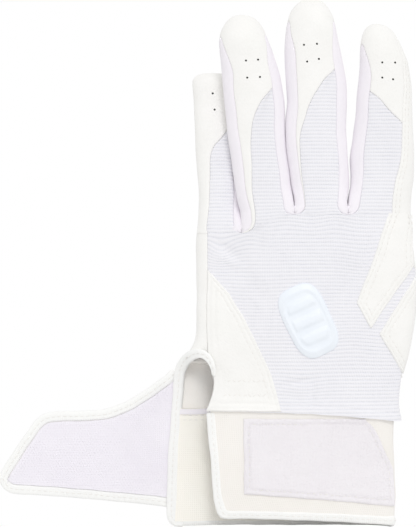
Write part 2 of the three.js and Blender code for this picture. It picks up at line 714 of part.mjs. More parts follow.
// Strap, hinged along the band's left side
const strapRootX = bandRight - bandWidth - seamGap;
const strapShares = {
  rootTop: [0, 1], shoulder: [0.12, 0.87], waist: [0.36, 0.7], top: [0.7, 0.69],
  corner: [0.8, 0.61], nose: [0.985, 0.28], tip: [1, 0.21], lip: [0.92, 0.1],
  low: [0.4, 0.05], rootBase: [0, 0],
};
function strapOutline(margin, pastRoot = 0) {
  const place = ([x, z], right, up) => new THREE.Vector2(
    strapRootX - x * strapLength + right - strapLean * (1 - z),
    strapBase + z * strapRootHeight + up,
  );
  const s = strapShares;
  const outline = new THREE.Shape();
  const start = place(s.rootTop, 0, -margin);
  outline.moveTo(start.x + pastRoot, start.y);
  outline.lineTo(start.x, start.y);
  const shoulder = place(s.shoulder, 0, -margin);
  const waist = place(s.waist, 0, -margin);
  outline.quadraticCurveTo(shoulder.x, shoulder.y, waist.x, waist.y);
  const corners = [
    place(s.top, 0, -margin), place(s.corner, margin, -margin), place(s.nose, margin, -margin / 2),
    place(s.tip, margin, 0), place(s.lip, margin, margin), place(s.low, 0, margin),
    place(s.rootBase, 0, margin), place(s.rootBase, pastRoot, margin),
  ];
  corners.forEach((p) => outline.lineTo(p.x, p.y));
  return outline;
}
const shellFace = strapFace + hookCloth + seamGap;
const strapMiddle = shellFace + strapWeb / 2;
const inner = tapeWidth + seamGap;
addPiece('strap_shell', 'cuff', fromSolid(prism(strapOutline(inner), shellFace, shellFace + strapWeb)));
addPiece('hook_patch', 'hook', fromSolid(prism(strapOutline(inner), strapFace, strapFace + hookCloth)));
const strapFrame = prism(strapOutline(0), strapMiddle - tape / 2, strapMiddle + tape / 2);
const holeBack = shellFace + strapWeb + overrun;
const frameHole = prism(strapOutline(tapeWidth, overrun), strapFace - overrun, holeBack);
addPiece('strap_binding', 'tape', fromSolid(strapFrame.subtract(frameHole)));

export default glove;
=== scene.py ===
# %% [markdown]
# # A batting glove, seen from the back of the hand
# The solids give every piece its size, place and joint. This script dresses them: it repeats
# the surfaces that the solids are cut from on finer grids, gives each cloth and leather piece
# its own relief, and sews them together with modelled thread.

import math

import bmesh
import bpy
import numpy as np
from mathutils import Matrix, Vector


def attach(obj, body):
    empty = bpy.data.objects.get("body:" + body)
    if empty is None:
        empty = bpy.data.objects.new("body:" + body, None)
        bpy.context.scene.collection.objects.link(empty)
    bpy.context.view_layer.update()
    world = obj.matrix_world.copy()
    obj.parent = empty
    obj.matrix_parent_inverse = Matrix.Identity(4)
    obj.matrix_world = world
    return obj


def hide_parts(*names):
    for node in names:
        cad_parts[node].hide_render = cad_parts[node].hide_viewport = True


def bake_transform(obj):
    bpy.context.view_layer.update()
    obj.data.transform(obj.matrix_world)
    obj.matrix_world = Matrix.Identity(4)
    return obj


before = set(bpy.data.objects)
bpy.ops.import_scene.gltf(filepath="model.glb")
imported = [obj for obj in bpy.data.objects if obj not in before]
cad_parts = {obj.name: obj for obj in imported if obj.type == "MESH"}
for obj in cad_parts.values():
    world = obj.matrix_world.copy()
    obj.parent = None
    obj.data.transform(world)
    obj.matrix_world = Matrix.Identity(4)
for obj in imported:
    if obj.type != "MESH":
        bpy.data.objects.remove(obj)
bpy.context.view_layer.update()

# %% [markdown]
# ## Sizes
# A glove is drafted flat, so its sizes are widths and heights of cut pieces. They are the
# solids' own, in millimetres: X runs from the little finger to the thumb side, Y from the back
# of the hand to the palm, Z from the cuff to the fingertips.

# %% Sizes of the hand, cuff and strap
MM = 0.001
cuff_height = 49.2
hand_length = 82.7
knuckle = cuff_height + hand_length
root_line = 131.0
pinky_line = 123.5
palm_width = 90.0
hand_shift = 8.8
palm_depth = 18.8
pinky_dip = 5.0
dip_width = 17.0
dip_rise = 62.0
notch_x = -16.6
wrap_show = 4.6
index_wrap_show = 8.8
slit_top = 71.5
slit_bulge = 2.5
flap_end = (-41.8, 5.7)
flap_angle = math.radians(122)
thumb_mouth = (63.0, 102.0)
thumb_side_x = 52.0
mouth_angle = math.radians(34)
cuff_width = 82.7
cuff_shift = 5.2
cuff_depth = 16.8
cuff_top = cuff_height - 0.3
strap_length = 73.5
strap_root_x = -46.8
gusset_show = 4.4
section_power = 2.3
leather_wall = 1.0
knit_wall = 0.9
hinge_gap = 0.4
cuff_power = 4.0

# %% [markdown]
# ## Curves and sections
# A sewn tube lies flat until a hand fills it, so each part of a glove is a flattened tube: its
# two edges are smooth curves through measured stations, and between them runs a superellipse,
# a section that goes from boxy to round by one power.


# %% Smooth curves through stations
def smooth(t):
    t = np.clip(t, 0, 1)
    return t * t * (3 - 2 * t)


def mix(a, b, t):
    return a + (b - a) * t


def signed_power(value, power):
    return np.sign(value) * np.abs(value) ** power


def through(stations, values):
    """A smooth curve through values given at stations, level beyond its ends."""
    s, v = np.array(stations, float), np.array(values, float)
    before = np.maximum(np.arange(len(s)) - 1, 0)
    after = np.minimum(np.arange(len(s)) + 1, len(s) - 1)
    slopes = (v[after] - v[before]) / (s[after] - s[before])

    def curve(t):
        i = np.clip(np.searchsorted(s, t) - 1, 0, len(s) - 2)
        span = s[i + 1] - s[i]
        q = np.clip((t - s[i]) / span, 0, 1)
        rise = v[i + 1] - v[i]
        start, end = slopes[i] * span, slopes[i + 1] * span
        return v[i] + q * (start + q * (3 * rise - 2 * start - end + q * (start + end - 2 * rise)))

    return curve


def level(value):
    """A curve with one value everywhere."""
    return lambda t: value + 0 * np.asarray(t, float)


def run_along(points):
    """The distance from the first point to each point."""
    steps = np.linalg.norm(np.diff(points, axis=0), axis=1)
    return np.concatenate([[0], np.cumsum(steps)])


def sample(points, run, at):
    """Points read along a path at the distances in at."""
    return np.stack([np.interp(at, run, points[:, k]) for k in range(3)], -1)


class Sleeve:
    """A flattened tube of cloth between two edges drawn in X and Z over t."""

    def __init__(self, left, right, depth, power, middle=None, face=1, shift=(0, 0, 0)):
        self.left, self.right = left, right
        self.depth, self.power = depth, power
        self.middle = middle or (lambda x, z: 0 * x)
        self.face, self.shift = face, np.array(shift, float)

    def width(self, t):
        a, b = self.left(t), self.right(t)
        return np.hypot(b[0] - a[0], b[1] - a[1])

    def point(self, angle, t):
        """The angle runs from the right edge over the palm side to the left edge and back."""
        a, b = self.left(t), self.right(t)
        half = np.maximum(self.width(t) / 2, 1e-6)
        n = self.power(t)
        along = signed_power(np.cos(angle), 2 / n) / 2
        x = (a[0] + b[0]) / 2 + (b[0] - a[0]) * along
        z = (a[1] + b[1]) / 2 + (b[1] - a[1]) * along
        away = self.depth(t) / 2 * signed_power(np.sin(angle), 2 / n)
        y = self.face * away + self.middle(x, z) + 0 * half
        return np.stack(np.broadcast_arrays(x, y, z), -1) + self.shift

    def back_angle(self, t, distance):
        """Angle of the point on the back that lies a distance from the left edge."""
        share = np.clip(distance / np.maximum(self.width(t) / 2, 1e-6) - 1, -1, 1)
        return -np.arccos(signed_power(share, self.power(t) / 2))


# %% [markdown]
# ## The body of the hand
# The back of a batting glove is one knitted panel, and the palm is one leather skin that wraps
# round the little finger side. Both lie on this tube. Below the little finger it dips towards
# the palm, because that finger's root lies lower and deeper than the others'.

# %% The hand's tube
hand_stations = np.linspace(0, 1, 11)
hand_right_share = through(
    hand_stations, [0.887, 0.882, 0.905, 0.966, 1.003, 1.027, 1.036, 1.036, 1.022, 0.999, 0.989]
)
hand_left_share = through(hand_stations, [1, 1, 1, 1.006, 1.008, 1.004, 1, 1, 1, 0.998, 0.99])
hand_depth_share = through(hand_stations, [0.9, 0.9, 0.92, 0.96, 1, 1, 1, 1, 0.98, 0.94, 0.9])


def dip_at(x, z):
    aside = 1 - smooth((x - notch_x + dip_width / 2) / dip_width)
    return pinky_dip * aside * smooth((z - knuckle + dip_rise) / dip_rise)


def hand_edge(side, share):
    return lambda t: np.array([
        hand_shift + side * palm_width * share(t) / 2, cuff_height + np.asarray(t) * hand_length
    ])


hand = Sleeve(
    hand_edge(-1, hand_left_share),
    hand_edge(1, hand_right_share),
    lambda t: palm_depth * hand_depth_share(t),
    lambda t: mix(4.0, 2.6, np.clip(t, 0, 1)),
    middle=dip_at,
)


def hand_share(z):
    return (z - cuff_height) / hand_length


def hand_half_depth(x, z):
    """Half the hand's thickness at a place, as the tube's section gives it."""
    t = hand_share(z)
    a, b = hand.left(t)[0], hand.right(t)[0]
    n = hand.power(t)
    u = np.clip(np.abs(2 * x - a - b) / (b - a), 0, 1)
    return hand.depth(t) / 2 * (1 - u**n) ** (1 / n)


def slit_shape(z):
    share = np.clip((z - cuff_height) / (slit_top - cuff_height), 0, 1)
    return slit_bulge * np.sin(math.pi * share)


side_seam = through([0.7, 0.72, 0.76, 0.8, 0.9, 1], [0, 0.04, 0.5, 0.8, 0.9, 0.95])


def back_from(t):
    return hand.back_angle(t, wrap_show + slit_shape(cuff_height + t * hand_length))


def back_to(t):
    seam = hand.back_angle(t, hand.width(t) - index_wrap_show * side_seam(np.maximum(t, 0.7)))
    return np.where(t < 0.7, 0.0, seam)


# %% [markdown]
# ## Wrinkles
# Cloth and leather are never as smooth as a drafted surface. One gentle field of waves moves
# every sewn piece alike, so seams stay closed, and a few creases sit where this glove has them:
# a dimple below the little finger, a pucker over the elastic and a fold beside it.

# %% A field of waves and a few creases
wave_seed = np.random.default_rng(11)


def wave_set(count, length, height):
    directions = wave_seed.normal(size=(count, 3))
    directions /= np.linalg.norm(directions, axis=1, keepdims=True)
    pushes = wave_seed.normal(size=(count, 3)) * height / math.sqrt(count)
    numbers = 2 * math.pi / (length * wave_seed.uniform(0.7, 1.5, size=(count, 1)))
    return list(zip(directions * numbers, wave_seed.uniform(0, 6.28, size=count), pushes))


waves = wave_set(8, 34, 0.24) + wave_set(10, 13, 0.07)

# Each crease: centre x and z, direction in degrees, half length, half width, depth
creases = [
    (-25.0, 117.5, -35, 6.5, 2.2, 1.3),
    (-22.0, 111.5, -20, 5.0, 1.8, -0.7),
    (6.0, 61.5, 10, 5.0, 1.3, 0.9),
    (12.2, 56.5, 85, 6.0, 1.4, 0.9),
    (20.0, 75.0, 75, 12.0, 3.0, 0.5),
    (-12.0, 101.0, -50, 13.0, 3.4, 0.5),
    (33.0, 112.0, 68, 11.0, 3.0, 0.5),
    (-3.0, 124.0, 62, 9.0, 2.6, 0.6),
    (22.0, 124.0, 95, 8.0, 2.4, 0.5),
]


cuff_rise = through([-46, -30, -22, 7, 30, 46], [0, 0.6, 3.0, 3.4, 2.8, 1.8])


def wander(p):
    """p moved by the waves, by the creases on the hand's back and up at the cuff's back foot."""
    moved = p.copy()
    for number, phase, push in waves:
        moved += np.sin(p @ number + phase)[..., None] * push
    facing = smooth(-p[..., 1] / 5)
    for x, z, turn, long, wide, deep in creases:
        c, s = math.cos(math.radians(turn)), math.sin(math.radians(turn))
        dx, dz = p[..., 0] - x, p[..., 2] - z
        a, b = (dx * c + dz * s) / long, (dz * c - dx * s) / wide
        moved[..., 1] += deep * np.exp(-a * a - b * b) * facing
    low = smooth((26 - p[..., 2]) / 26) * (p[..., 0] > -60)
    moved[..., 2] += cuff_rise(p[..., 0]) * low * smooth((3 - p[..., 1]) / 6)
    return moved


# %% [markdown]
# ## Cutting pieces
# Every piece is a grid of points on a tube: rows along it, columns across it by arc length, with
# extra columns beside each seam, where the cloth turns down into the stitch line. The grid gets
# its relief along the normals, then a wall, then a rim that closes it.

# %% Grids on a tube
edge_places = np.array([0, 0.22, 0.5, 0.9, 1.4, 2.0])
fine_steps = 140


def column_places(length, middle):
    reach = edge_places * min(1, length / (4 * edge_places[-1]))
    inner = np.linspace(reach[-1], length - reach[-1], middle + 2)[1:-1]
    return np.concatenate([reach, inner, length - reach[::-1]])


def arc_row(point, start, end, power, middle):
    """One row of a piece: points from one angle to the other, spaced along the section."""
    even = np.linspace(start, end, fine_steps)
    base = np.arccos(signed_power(np.linspace(-1, 1, fine_steps), power / 2))
    turns = np.concatenate([s * base + 2 * math.pi * k for s in (1, -1) for k in (-1, 0, 1)])
    angles = np.sort(np.concatenate([even, turns[(turns > start) & (turns < end)]]))
    line = point(angles)
    run = run_along(line)
    at = column_places(run[-1], middle)
    return sample(line, run, at), at, np.interp(at, run, angles)


class Cut:
    """A cut piece: its grid, each point's distance across and along, and its normals."""

    def __init__(self, rows, outward=None, centres=None):
        """outward is a direction. Otherwise the cloth faces away from its rows' centres."""
        self.grid = wander(np.array([row[0] for row in rows]))
        self.across = np.array([row[1] for row in rows])
        steps = np.linalg.norm(np.diff(self.grid, axis=0), axis=2)
        self.along = np.concatenate([np.zeros((1, steps.shape[1])), np.cumsum(steps, axis=0)])
        normal = np.cross(np.gradient(self.grid, axis=1), np.gradient(self.grid, axis=0))
        size = np.linalg.norm(normal, axis=2, keepdims=True)
        normal /= size + 1e-9
        if outward is None:
            middles = self.grid.mean(axis=1) if centres is None else np.array(centres)
            aim = self.grid - middles[:, None]
        else:
            aim = np.array(outward, float)
        normal = normal if np.sum(normal * aim) > 0 else -normal
        # Where a tube closes to a point, the way on along the tube stands in for the normal.
        ahead = self.grid[-1].mean(axis=0) - self.grid[-2].mean(axis=0)
        self.ahead = ahead / (np.linalg.norm(ahead) + 1e-9)
        self.normal = np.where(size < 0.01 * np.median(size), self.ahead, normal)

    def flat_area(self):
        """The area of the cut in square metres, from the cells of its grid."""
        along, over = np.diff(self.grid, axis=0)[:, :-1], np.diff(self.grid, axis=1)[:-1]
        return np.linalg.norm(np.cross(along, over), axis=2).sum() * MM**2

    @property
    def from_left(self):
        return self.across

    @property
    def from_right(self):
        return self.across[:, -1:] - self.across

    @property
    def edge(self):
        """The distance of each point from the nearest side of the piece."""
        across = np.minimum(self.from_left, self.from_right)
        return np.minimum(across, np.minimum(self.along, self.along[-1:] - self.along))

    @property
    def above_hem(self):
        return self.grid[..., 2] - self.grid[:1, :, 2]

    def raised(self, height):
        return self.grid + self.normal * np.asarray(height)[..., None]

    def line(self, side, distance):
        """Points and normals of a line at a distance from one side of the piece."""
        turned = slice(None) if side == "left" else slice(None, None, -1)
        away = self.from_left if side == "left" else self.from_right[:, turned]
        return [
            np.array([sample(f, a, distance) for a, f in zip(away, field[:, turned])])
            for field in (self.grid, self.normal)
        ]


def turned_down(distance, depth=0.5, reach=1.3):
    """How far cloth sinks towards a seam at this distance from it."""
    return depth * (1 - np.sqrt(1 - (1 - np.clip(distance / reach, 0, 1)) ** 2 + 1e-9))


# %% Meshes from grids
pieces = {}
cloth_cuts = {}


def link_new(name, data):
    obj = bpy.data.objects.new(name, data)
    bpy.context.scene.collection.objects.link(obj)
    return obj


def finish_mesh(name, points, faces, finishes, uv=None, sharp=60):
    """A closed mesh in millimetres, facing outwards, smooth but for its sharp rims."""
    mesh = bpy.data.meshes.new(name)
    mesh.from_pydata((points * MM).tolist(), [], faces)
    mesh.calc_loop_triangles()
    index = np.empty(3 * len(mesh.loop_triangles), int)
    mesh.loop_triangles.foreach_get("vertices", index)
    a, b, c = points[index.reshape(-1, 3)].transpose(1, 0, 2)
    if np.sum(a * np.cross(b, c)) < 0:
        mesh.flip_normals()
    if uv is not None:
        layer = mesh.uv_layers.new(name="cloth")
        index = np.empty(len(mesh.loops), int)
        mesh.loops.foreach_get("vertex_index", index)
        layer.data.foreach_set("uv", (uv[index] / 10).ravel().astype(np.float32))
    for finish in finishes:
        mesh.materials.append(materials[finish])
    mesh.polygons.foreach_set("use_smooth", np.ones(len(mesh.polygons), bool))
    mesh.set_sharp_from_angle(angle=math.radians(sharp))
    pieces[name] = link_new(name, mesh)
    return pieces[name]


def quads_between(a, b):
    """Quads between two lines of point numbers."""
    return np.stack([a[:-1], a[1:], b[1:], b[:-1]], -1)


def cell_quads(ids):
    """Quads between the neighbours in a grid of point numbers."""
    return np.concatenate([quads_between(a, b) for a, b in zip(ids[:-1], ids[1:])])


def numbered(rows, columns, closed=False):
    """Point numbers of two grids, one stored after the other. closed adds the first column last."""
    ids = np.arange(rows * columns).reshape(rows, columns)
    ids = np.concatenate([ids, ids[:, :1]], axis=1) if closed else ids
    return ids, ids + rows * columns


def sheet_piece(name, outer, inner, finishes, cut):
    """A closed sheet between two grids of the same shape. A second finish takes the inside."""
    cloth_cuts[name] = cut
    ids, other = numbered(*outer.shape[:2])
    outside = cell_quads(ids)
    rim = [
        quads_between(ids[0], other[0])[:, ::-1],
        quads_between(ids[-1], other[-1]),
        quads_between(ids[:, 0], other[:, 0]),
        quads_between(ids[:, -1], other[:, -1])[:, ::-1],
    ]
    faces = np.concatenate([outside, cell_quads(other)[:, [0, 3, 2, 1]]] + rim)
    points = np.concatenate([outer.reshape(-1, 3), inner.reshape(-1, 3)])
    flat = np.stack([cut.across, cut.along], -1).reshape(-1, 2)
    obj = finish_mesh(name, points, faces.tolist(), finishes, np.tile(flat, (2, 1)), 58)
    if len(finishes) > 1:
        face_finish = np.zeros(len(faces), np.int32)
        face_finish[len(outside) : 2 * len(outside)] = 1
        obj.data.polygons.foreach_set("material_index", face_finish)
    return obj


def cloth_piece(name, cut, height, wall, finishes, ridge=None):
    """A cloth with relief outside and a plain inside. ridge is 1 on a rib and 0 between ribs, where the
    rib knit's colour takes its painted shade.
    """
    obj = sheet_piece(name, cut.raised(height), cut.grid - cut.normal * wall, finishes, cut)
    if ridge is not None:
        layer = obj.data.attributes.new("ridge", "FLOAT", "POINT")
        layer.data.foreach_set("value", np.tile(ridge.ravel(), 2).astype(np.float32))
    return obj


# %% [markdown]
# ## Colours and finishes
# Nearly everything on this glove is white, so the finishes differ in how they scatter light:
# leather has a soft gloss and a pebbled grain, knits are matt with a fine sheen, the moulded
# badge is smooth and a little blue. Small colour shifts keep each white from being flat.


# %% Nodes and colours
def linear(code):
    """An sRGB hex colour as linear numbers."""
    parts = [int(code[i : i + 2], 16) / 255 for i in (1, 3, 5)]
    return [p / 12.92 if p <= 0.04045 else ((p + 0.055) / 1.055) ** 2.4 for p in parts] + [1]


def add_node(tree, kind, inputs=None, **settings):
    """A node with its settings and its inputs, each of them a value or a socket to link."""
    node = tree.nodes.new(kind)
    for key, value in settings.items():
        setattr(node, key, value)
    for key, value in (inputs or {}).items():
        if isinstance(value, bpy.types.NodeSocket):
            tree.links.new(value, node.inputs[key])
        else:
            node.inputs[key].default_value = value
    return node


def new_material(name, roughness, specular=0.5, sheen=0.0):
    material = bpy.data.materials.new(name)
    material.use_nodes = True
    shader = material.node_tree.nodes["Principled BSDF"]
    shader.inputs["Roughness"].default_value = roughness
    shader.inputs["Specular IOR Level"].default_value = specular
    shader.inputs["Sheen Weight"].default_value = sheen
    shader.inputs["Sheen Roughness"].default_value = 0.6
    return material, material.node_tree, shader


def colour_and_relief(tree, shader, dark, light, tone, reliefs=()):
    """The colour goes from dark to light with tone. A relief is a height, a depth and a strength."""
    colour = add_node(
        tree, "ShaderNodeMix", {0: tone, 6: linear(dark), 7: linear(light)}, data_type="RGBA"
    )
    tree.links.new(colour.outputs[2], shader.inputs["Base Color"])
    under = {}
    for height, depth, strength in reliefs:
        inputs = {"Height": height, "Distance": depth * MM, "Strength": strength}
        relief = add_node(tree, "ShaderNodeBump", inputs | under)
        under = {"Normal": relief.outputs[0]}
        tree.links.new(relief.outputs[0], shader.inputs["Normal"])


materials = {}


# %% Leather
# Tanned sheepskin, dyed white: pebbles of about 0.7 mm with fine creases between them, and a
# low gloss that is a little stronger on top of each pebble.
def leather_finish(name, dark, light, roughness, grain):
    material, tree, shader = new_material(name, roughness, 0.45)
    place = add_node(tree, "ShaderNodeTexCoord").outputs["Object"]
    pebble = add_node(
        tree, "ShaderNodeTexVoronoi",
        {"Vector": place, "Scale": 1 / (grain * MM), "Smoothness": 0.6}, feature="SMOOTH_F1",
    )
    patchy = add_node(
        tree, "ShaderNodeTexNoise",
        {"Vector": place, "Scale": 1 / (9 * MM), "Detail": 4.0, "Roughness": 0.55},
    )
    creasing = add_node(
        tree, "ShaderNodeTexNoise",
        {"Vector": place, "Scale": 1 / (2.4 * MM), "Detail": 3.0, "Distortion": 1.2},
    )
    reliefs = (creasing.outputs[0], 0.16, 1.0), (pebble.outputs[0], 0.07, 0.8)
    colour_and_relief(tree, shader, dark, light, patchy.outputs[0], reliefs)
    return material


materials["leather"] = leather_finish("Sheepskin, tanned white", "#f3f2ef", "#fbfaf8", 0.52, 0.8)
# The flesh side is left brushed: matt, warmer and with a finer nap.
materials["suede"] = leather_finish("Sheepskin, flesh side", "#fdf8f2", "#fffdfa", 0.9, 0.35)


# %% Knits and woven cloth
# Knitting repeats in courses and wales. The coarse ribs are modelled, so the material only adds
# the columns of loops on them, from the piece's own UV map, which is in centimetres of cloth.
def knit_finish(name, dark, light, wale, course, depth, fuzz_depth=0.05, valley_shade=None):
    material, tree, shader = new_material(name, 0.85, 0.3, 0.25)
    cloth = add_node(tree, "ShaderNodeUVMap", uv_map="cloth").outputs[0]
    parts = add_node(tree, "ShaderNodeSeparateXYZ", {0: cloth}).outputs
    rows = []
    for along, pitch in ((parts[1], course), (parts[0], wale)):
        turns = add_node(
            tree, "ShaderNodeMath", {0: along, 1: 2 * math.pi * 10 / pitch}, operation="MULTIPLY"
        )
        rows.append(add_node(tree, "ShaderNodeMath", {0: turns.outputs[0]}, operation="SINE"))
    loops = add_node(
        tree, "ShaderNodeMath", {0: rows[0].outputs[0], 1: rows[1].outputs[0]}, operation="ADD"
    )
    place = add_node(tree, "ShaderNodeTexCoord").outputs["Object"]
    fuzz, tone = (
        add_node(tree, "ShaderNodeTexNoise", {"Vector": place, "Scale": 1 / (size * MM), "Detail": 3.0})
        for size in (0.9, 14)
    )
    reliefs = (loops.outputs[0], depth, 1.0), (fuzz.outputs[0], fuzz_depth, 0.7)
    colour_and_relief(tree, shader, dark, light, tone.outputs[0], reliefs)
    # Painted shade: where ridge is 0, between the ribs, the colour goes over to the darker valley
    # colour.
    if valley_shade:
        ridge = add_node(tree, "ShaderNodeAttribute", attribute_name="ridge").outputs["Fac"]
        on_rib = shader.inputs["Base Color"].links[0].from_socket
        colour = add_node(
            tree, "ShaderNodeMix", {0: ridge, 6: linear(valley_shade), 7: on_rib}, data_type="RGBA"
        )
        tree.links.new(colour.outputs[2], shader.inputs["Base Color"])
    return material


# Polyester rib knit: wales of 1 mm are drawn, about one loop wide. Between two ribs the colour is
# painted darker: painted shade where the ribs shade each other.
materials["rib_knit"] = knit_finish(
    "Rib knit polyester", "#eeedf2", "#f8f7fa", 1.0, 0.75, 0.015, valley_shade="#e3e4eb"
)
# Elastane jersey for the gussets: fine, smooth and a little pink.
materials["jersey"] = knit_finish("Elastane jersey", "#f4f0f6", "#faf6fb", 0.7, 0.6, 0.015)
# Brushed jersey bonded to foam, for the cuff and strap: cream and soft.
materials["cuff_cloth"] = knit_finish("Foam-backed jersey", "#f3efe9", "#f8f5f1", 0.9, 0.8, 0.015)
# Brushed tricot, warm and fluffy, inside the cuff.
materials["lining"] = knit_finish("Brushed tricot lining", "#fefaf1", "#fffdf7", 0.9, 0.9, 0.02)
# Woven edge tape: ribs of 0.8 mm across it, clean and white.
materials["tape"] = knit_finish("Woven edge tape", "#f7f7f6", "#fdfdfb", 1.6, 0.8, 0.02, 0.01)
materials["elastic"] = knit_finish("Knitted elastic", "#e8e6e2", "#f2f0ec", 1.2, 0.8, 0.05)
# Knitted nylon pile, brushed into loops, and the ground that the hooks stand on.
materials["loop_pile"] = knit_finish("Nylon loop pile", "#f4f0f4", "#faf7fa", 0.6, 0.6, 0.03)
materials["hook_ground"] = knit_finish("Hook tape ground", "#f2eef6", "#f8f5fb", 0.8, 0.8, 0.02)
materials["thread"] = knit_finish("Spun polyester thread", "#eeece8", "#f8f6f3", 0.5, 0.5, 0.01)

# %% Rubber badge
# Silicone rubber, moulded and matt, with a faint blue cast.
materials["rubber"], tree, shader = new_material("Silicone rubber, moulded", 0.42)
place = add_node(tree, "ShaderNodeTexCoord").outputs["Object"]
tone = add_node(
    tree, "ShaderNodeTexNoise", {"Vector": place, "Scale": 1 / (6 * MM), "Detail": 2.0}
)
colour_and_relief(tree, shader, "#edf3fb", "#f4f8fd", tone.outputs[0])
print(len(materials), "finishes")

# %% [markdown]
# ## Finger stalls
# A stall is sewn from a leather cap and a knit back, a leather palm side, and a strip of
# stretch jersey, the gusset, wherever it faces another finger. On the real glove the knit runs
# on from the back of the hand, so each stall's root takes the shape of the hand's own surface
# and turns into a round tube over the first 13 mm.

# %% Sizes of the fingers
station_shares = [0, 0.1, 0.2, 0.3, 0.4, 0.5, 0.6, 0.7, 0.8, 0.88, 1]
depth_shares = [1.1, 1.07, 1.05, 1.03, 1.01, 1, 1, 0.99, 0.97, 0.95, 0.92]
fingers = {
    "ring": dict(
        length=82.7, width=25.2, depth=13.2, root_x=-6.896, tip_round=14.7, tip_power=2.4,
        widths=[22.2, 23.4, 23.6, 23.8, 24.4, 25.2, 25.1, 24.1, 22.6, 21.0, 19.5],
        leans=[0, -1.3, -2.4, -3.35, -4.05, -4.5, -5.6, -6.8, -8.5, -9.8, -10.3],
        seam=[0.1, 0.27, 0.33, 0.41, 0.53, 0.67, 0.85, 1],
        seam_at=[0, 0.32, 0.396, 0.462, 0.513, 0.553, 0.584, 0.614],
        knit="right", left="gusset", right="gusset",
        cell=(-17.5, 4.5), base=(pinky_line, root_line),
    ),
    "middle": dict(
        length=89.5, width=25.2, depth=13.2, root_x=15.604, tip_round=16, tip_power=2.4,
        widths=[21.8, 24.2, 25.5, 25.7, 25.2, 24.8, 25.2, 24.5, 22.5, 21.0, 18.8],
        leans=[0, -0.1, -0.7, -1.4, -1.7, -1.5, -1.95, -2.8, -3.4, -3.6, -3.7],
        seam=[0.0, 0.08, 0.19, 0.25, 0.39, 0.55, 0.73, 1],
        seam_at=[0, 0.33, 0.437, 0.484, 0.54, 0.582, 0.624, 0.667],
        knit="right", left="gusset", right="gusset",
        cell=(4.5, 26.8), base=(root_line, root_line),
    ),
    "index": dict(
        length=79, width=26.7, depth=13.2, root_x=40.3, tip_round=14.5, tip_power=2.4,
        widths=[26.0, 25.8, 26.3, 26.7, 25.7, 24.4, 23.5, 21.9, 20.0, 18.0, 16.8],
        leans=[0, 0.5, 1.25, 1.4, 1.9, 2.2, 2.1, 2.15, 1.95, 0.9, -0.6],
        seam=[1, 0.79, 0.54, 0.29, 0],
        seam_at=[0.473, 0.505, 0.548, 0.6, 0.638],
        knit="left", left="gusset", right="leather",
        cell=(26.8, 53.31), base=(root_line, root_line),
    ),
    "pinky": dict(
        length=67.0, width=19.3, depth=10.4, root_x=-26.3, tip_round=6, tip_power=3.4,
        widths=[18.7, 18.3, 18.3, 18.3, 18.5, 18.8, 19.1, 19.3, 19.3, 19.3, 19.3],
        leans=[0, 0, 0, -0.15, -0.4, -0.65, -0.85, -1.1, -1.4, -1.7, -2.0],
        seam=[0.24, 0.36, 0.5, 0.72, 1],
        seam_at=[0, 0.446, 0.53, 0.586, 0.669],
        knit="right", left="edge", right="gusset",
        cell=(-35.75, -17.5), base=(pinky_line, pinky_line), drop=7.2, dip=5.0, tilt=0.118,
    ),
}
gusset_top_share, gusset_fade_share, gusset_tip_share = 0.5, 0.7, 0.22
palm_gusset_angle = math.radians(28)
wrap = through(
    [0, 0.15, 0.33, 0.45, 0.8, 0.95, 1],
    [index_wrap_show * share for share in (1, 0.92, 0.66, 0.6, 0.3, 0.12, 0.1)],
)
root_height = 13.0
crotch_round = 4.6
rib_pitch = 1.5
rib_depth, rib_rest = 0.32, 0.6


def base_height(finger, share):
    """Where the stall leaves the hand, across its width."""
    return mix(*finger["base"], smooth(share))


# %% A stall's tube
def tip_reach(finger, t):
    start = 1 - finger["tip_round"] / finger["length"]
    return np.clip((t - start) / (1 - start), 0, 1)


def closing(finger, depth):
    """The depth of a stall, which goes down to its seam's thickness round the tip."""
    return lambda t: mix(1.2, depth(t), np.sqrt(np.maximum(1 - tip_reach(finger, t) ** 2, 0)))


def stall_sleeve(finger):
    width = through(station_shares, finger["widths"])
    lean = through(station_shares, finger["leans"])
    depth = through(station_shares, np.array(depth_shares) * finger["depth"])
    power = finger["tip_power"]

    def kept(t):
        return (1 - tip_reach(finger, t) ** power) ** (1 / power)

    def edge(side):
        return lambda t: np.array([lean(t) + side * width(t) * kept(t) / 2, t * finger["length"]])

    tilt = finger.get("tilt", 0)
    root_z = knuckle - finger.get("drop", 0) + hinge_gap / 2
    return Sleeve(
        edge(-1), edge(1), closing(finger, depth), level(section_power),
        middle=lambda x, z: tilt * z,
        shift=(finger["root_x"], finger.get("dip", 0), root_z),
    )


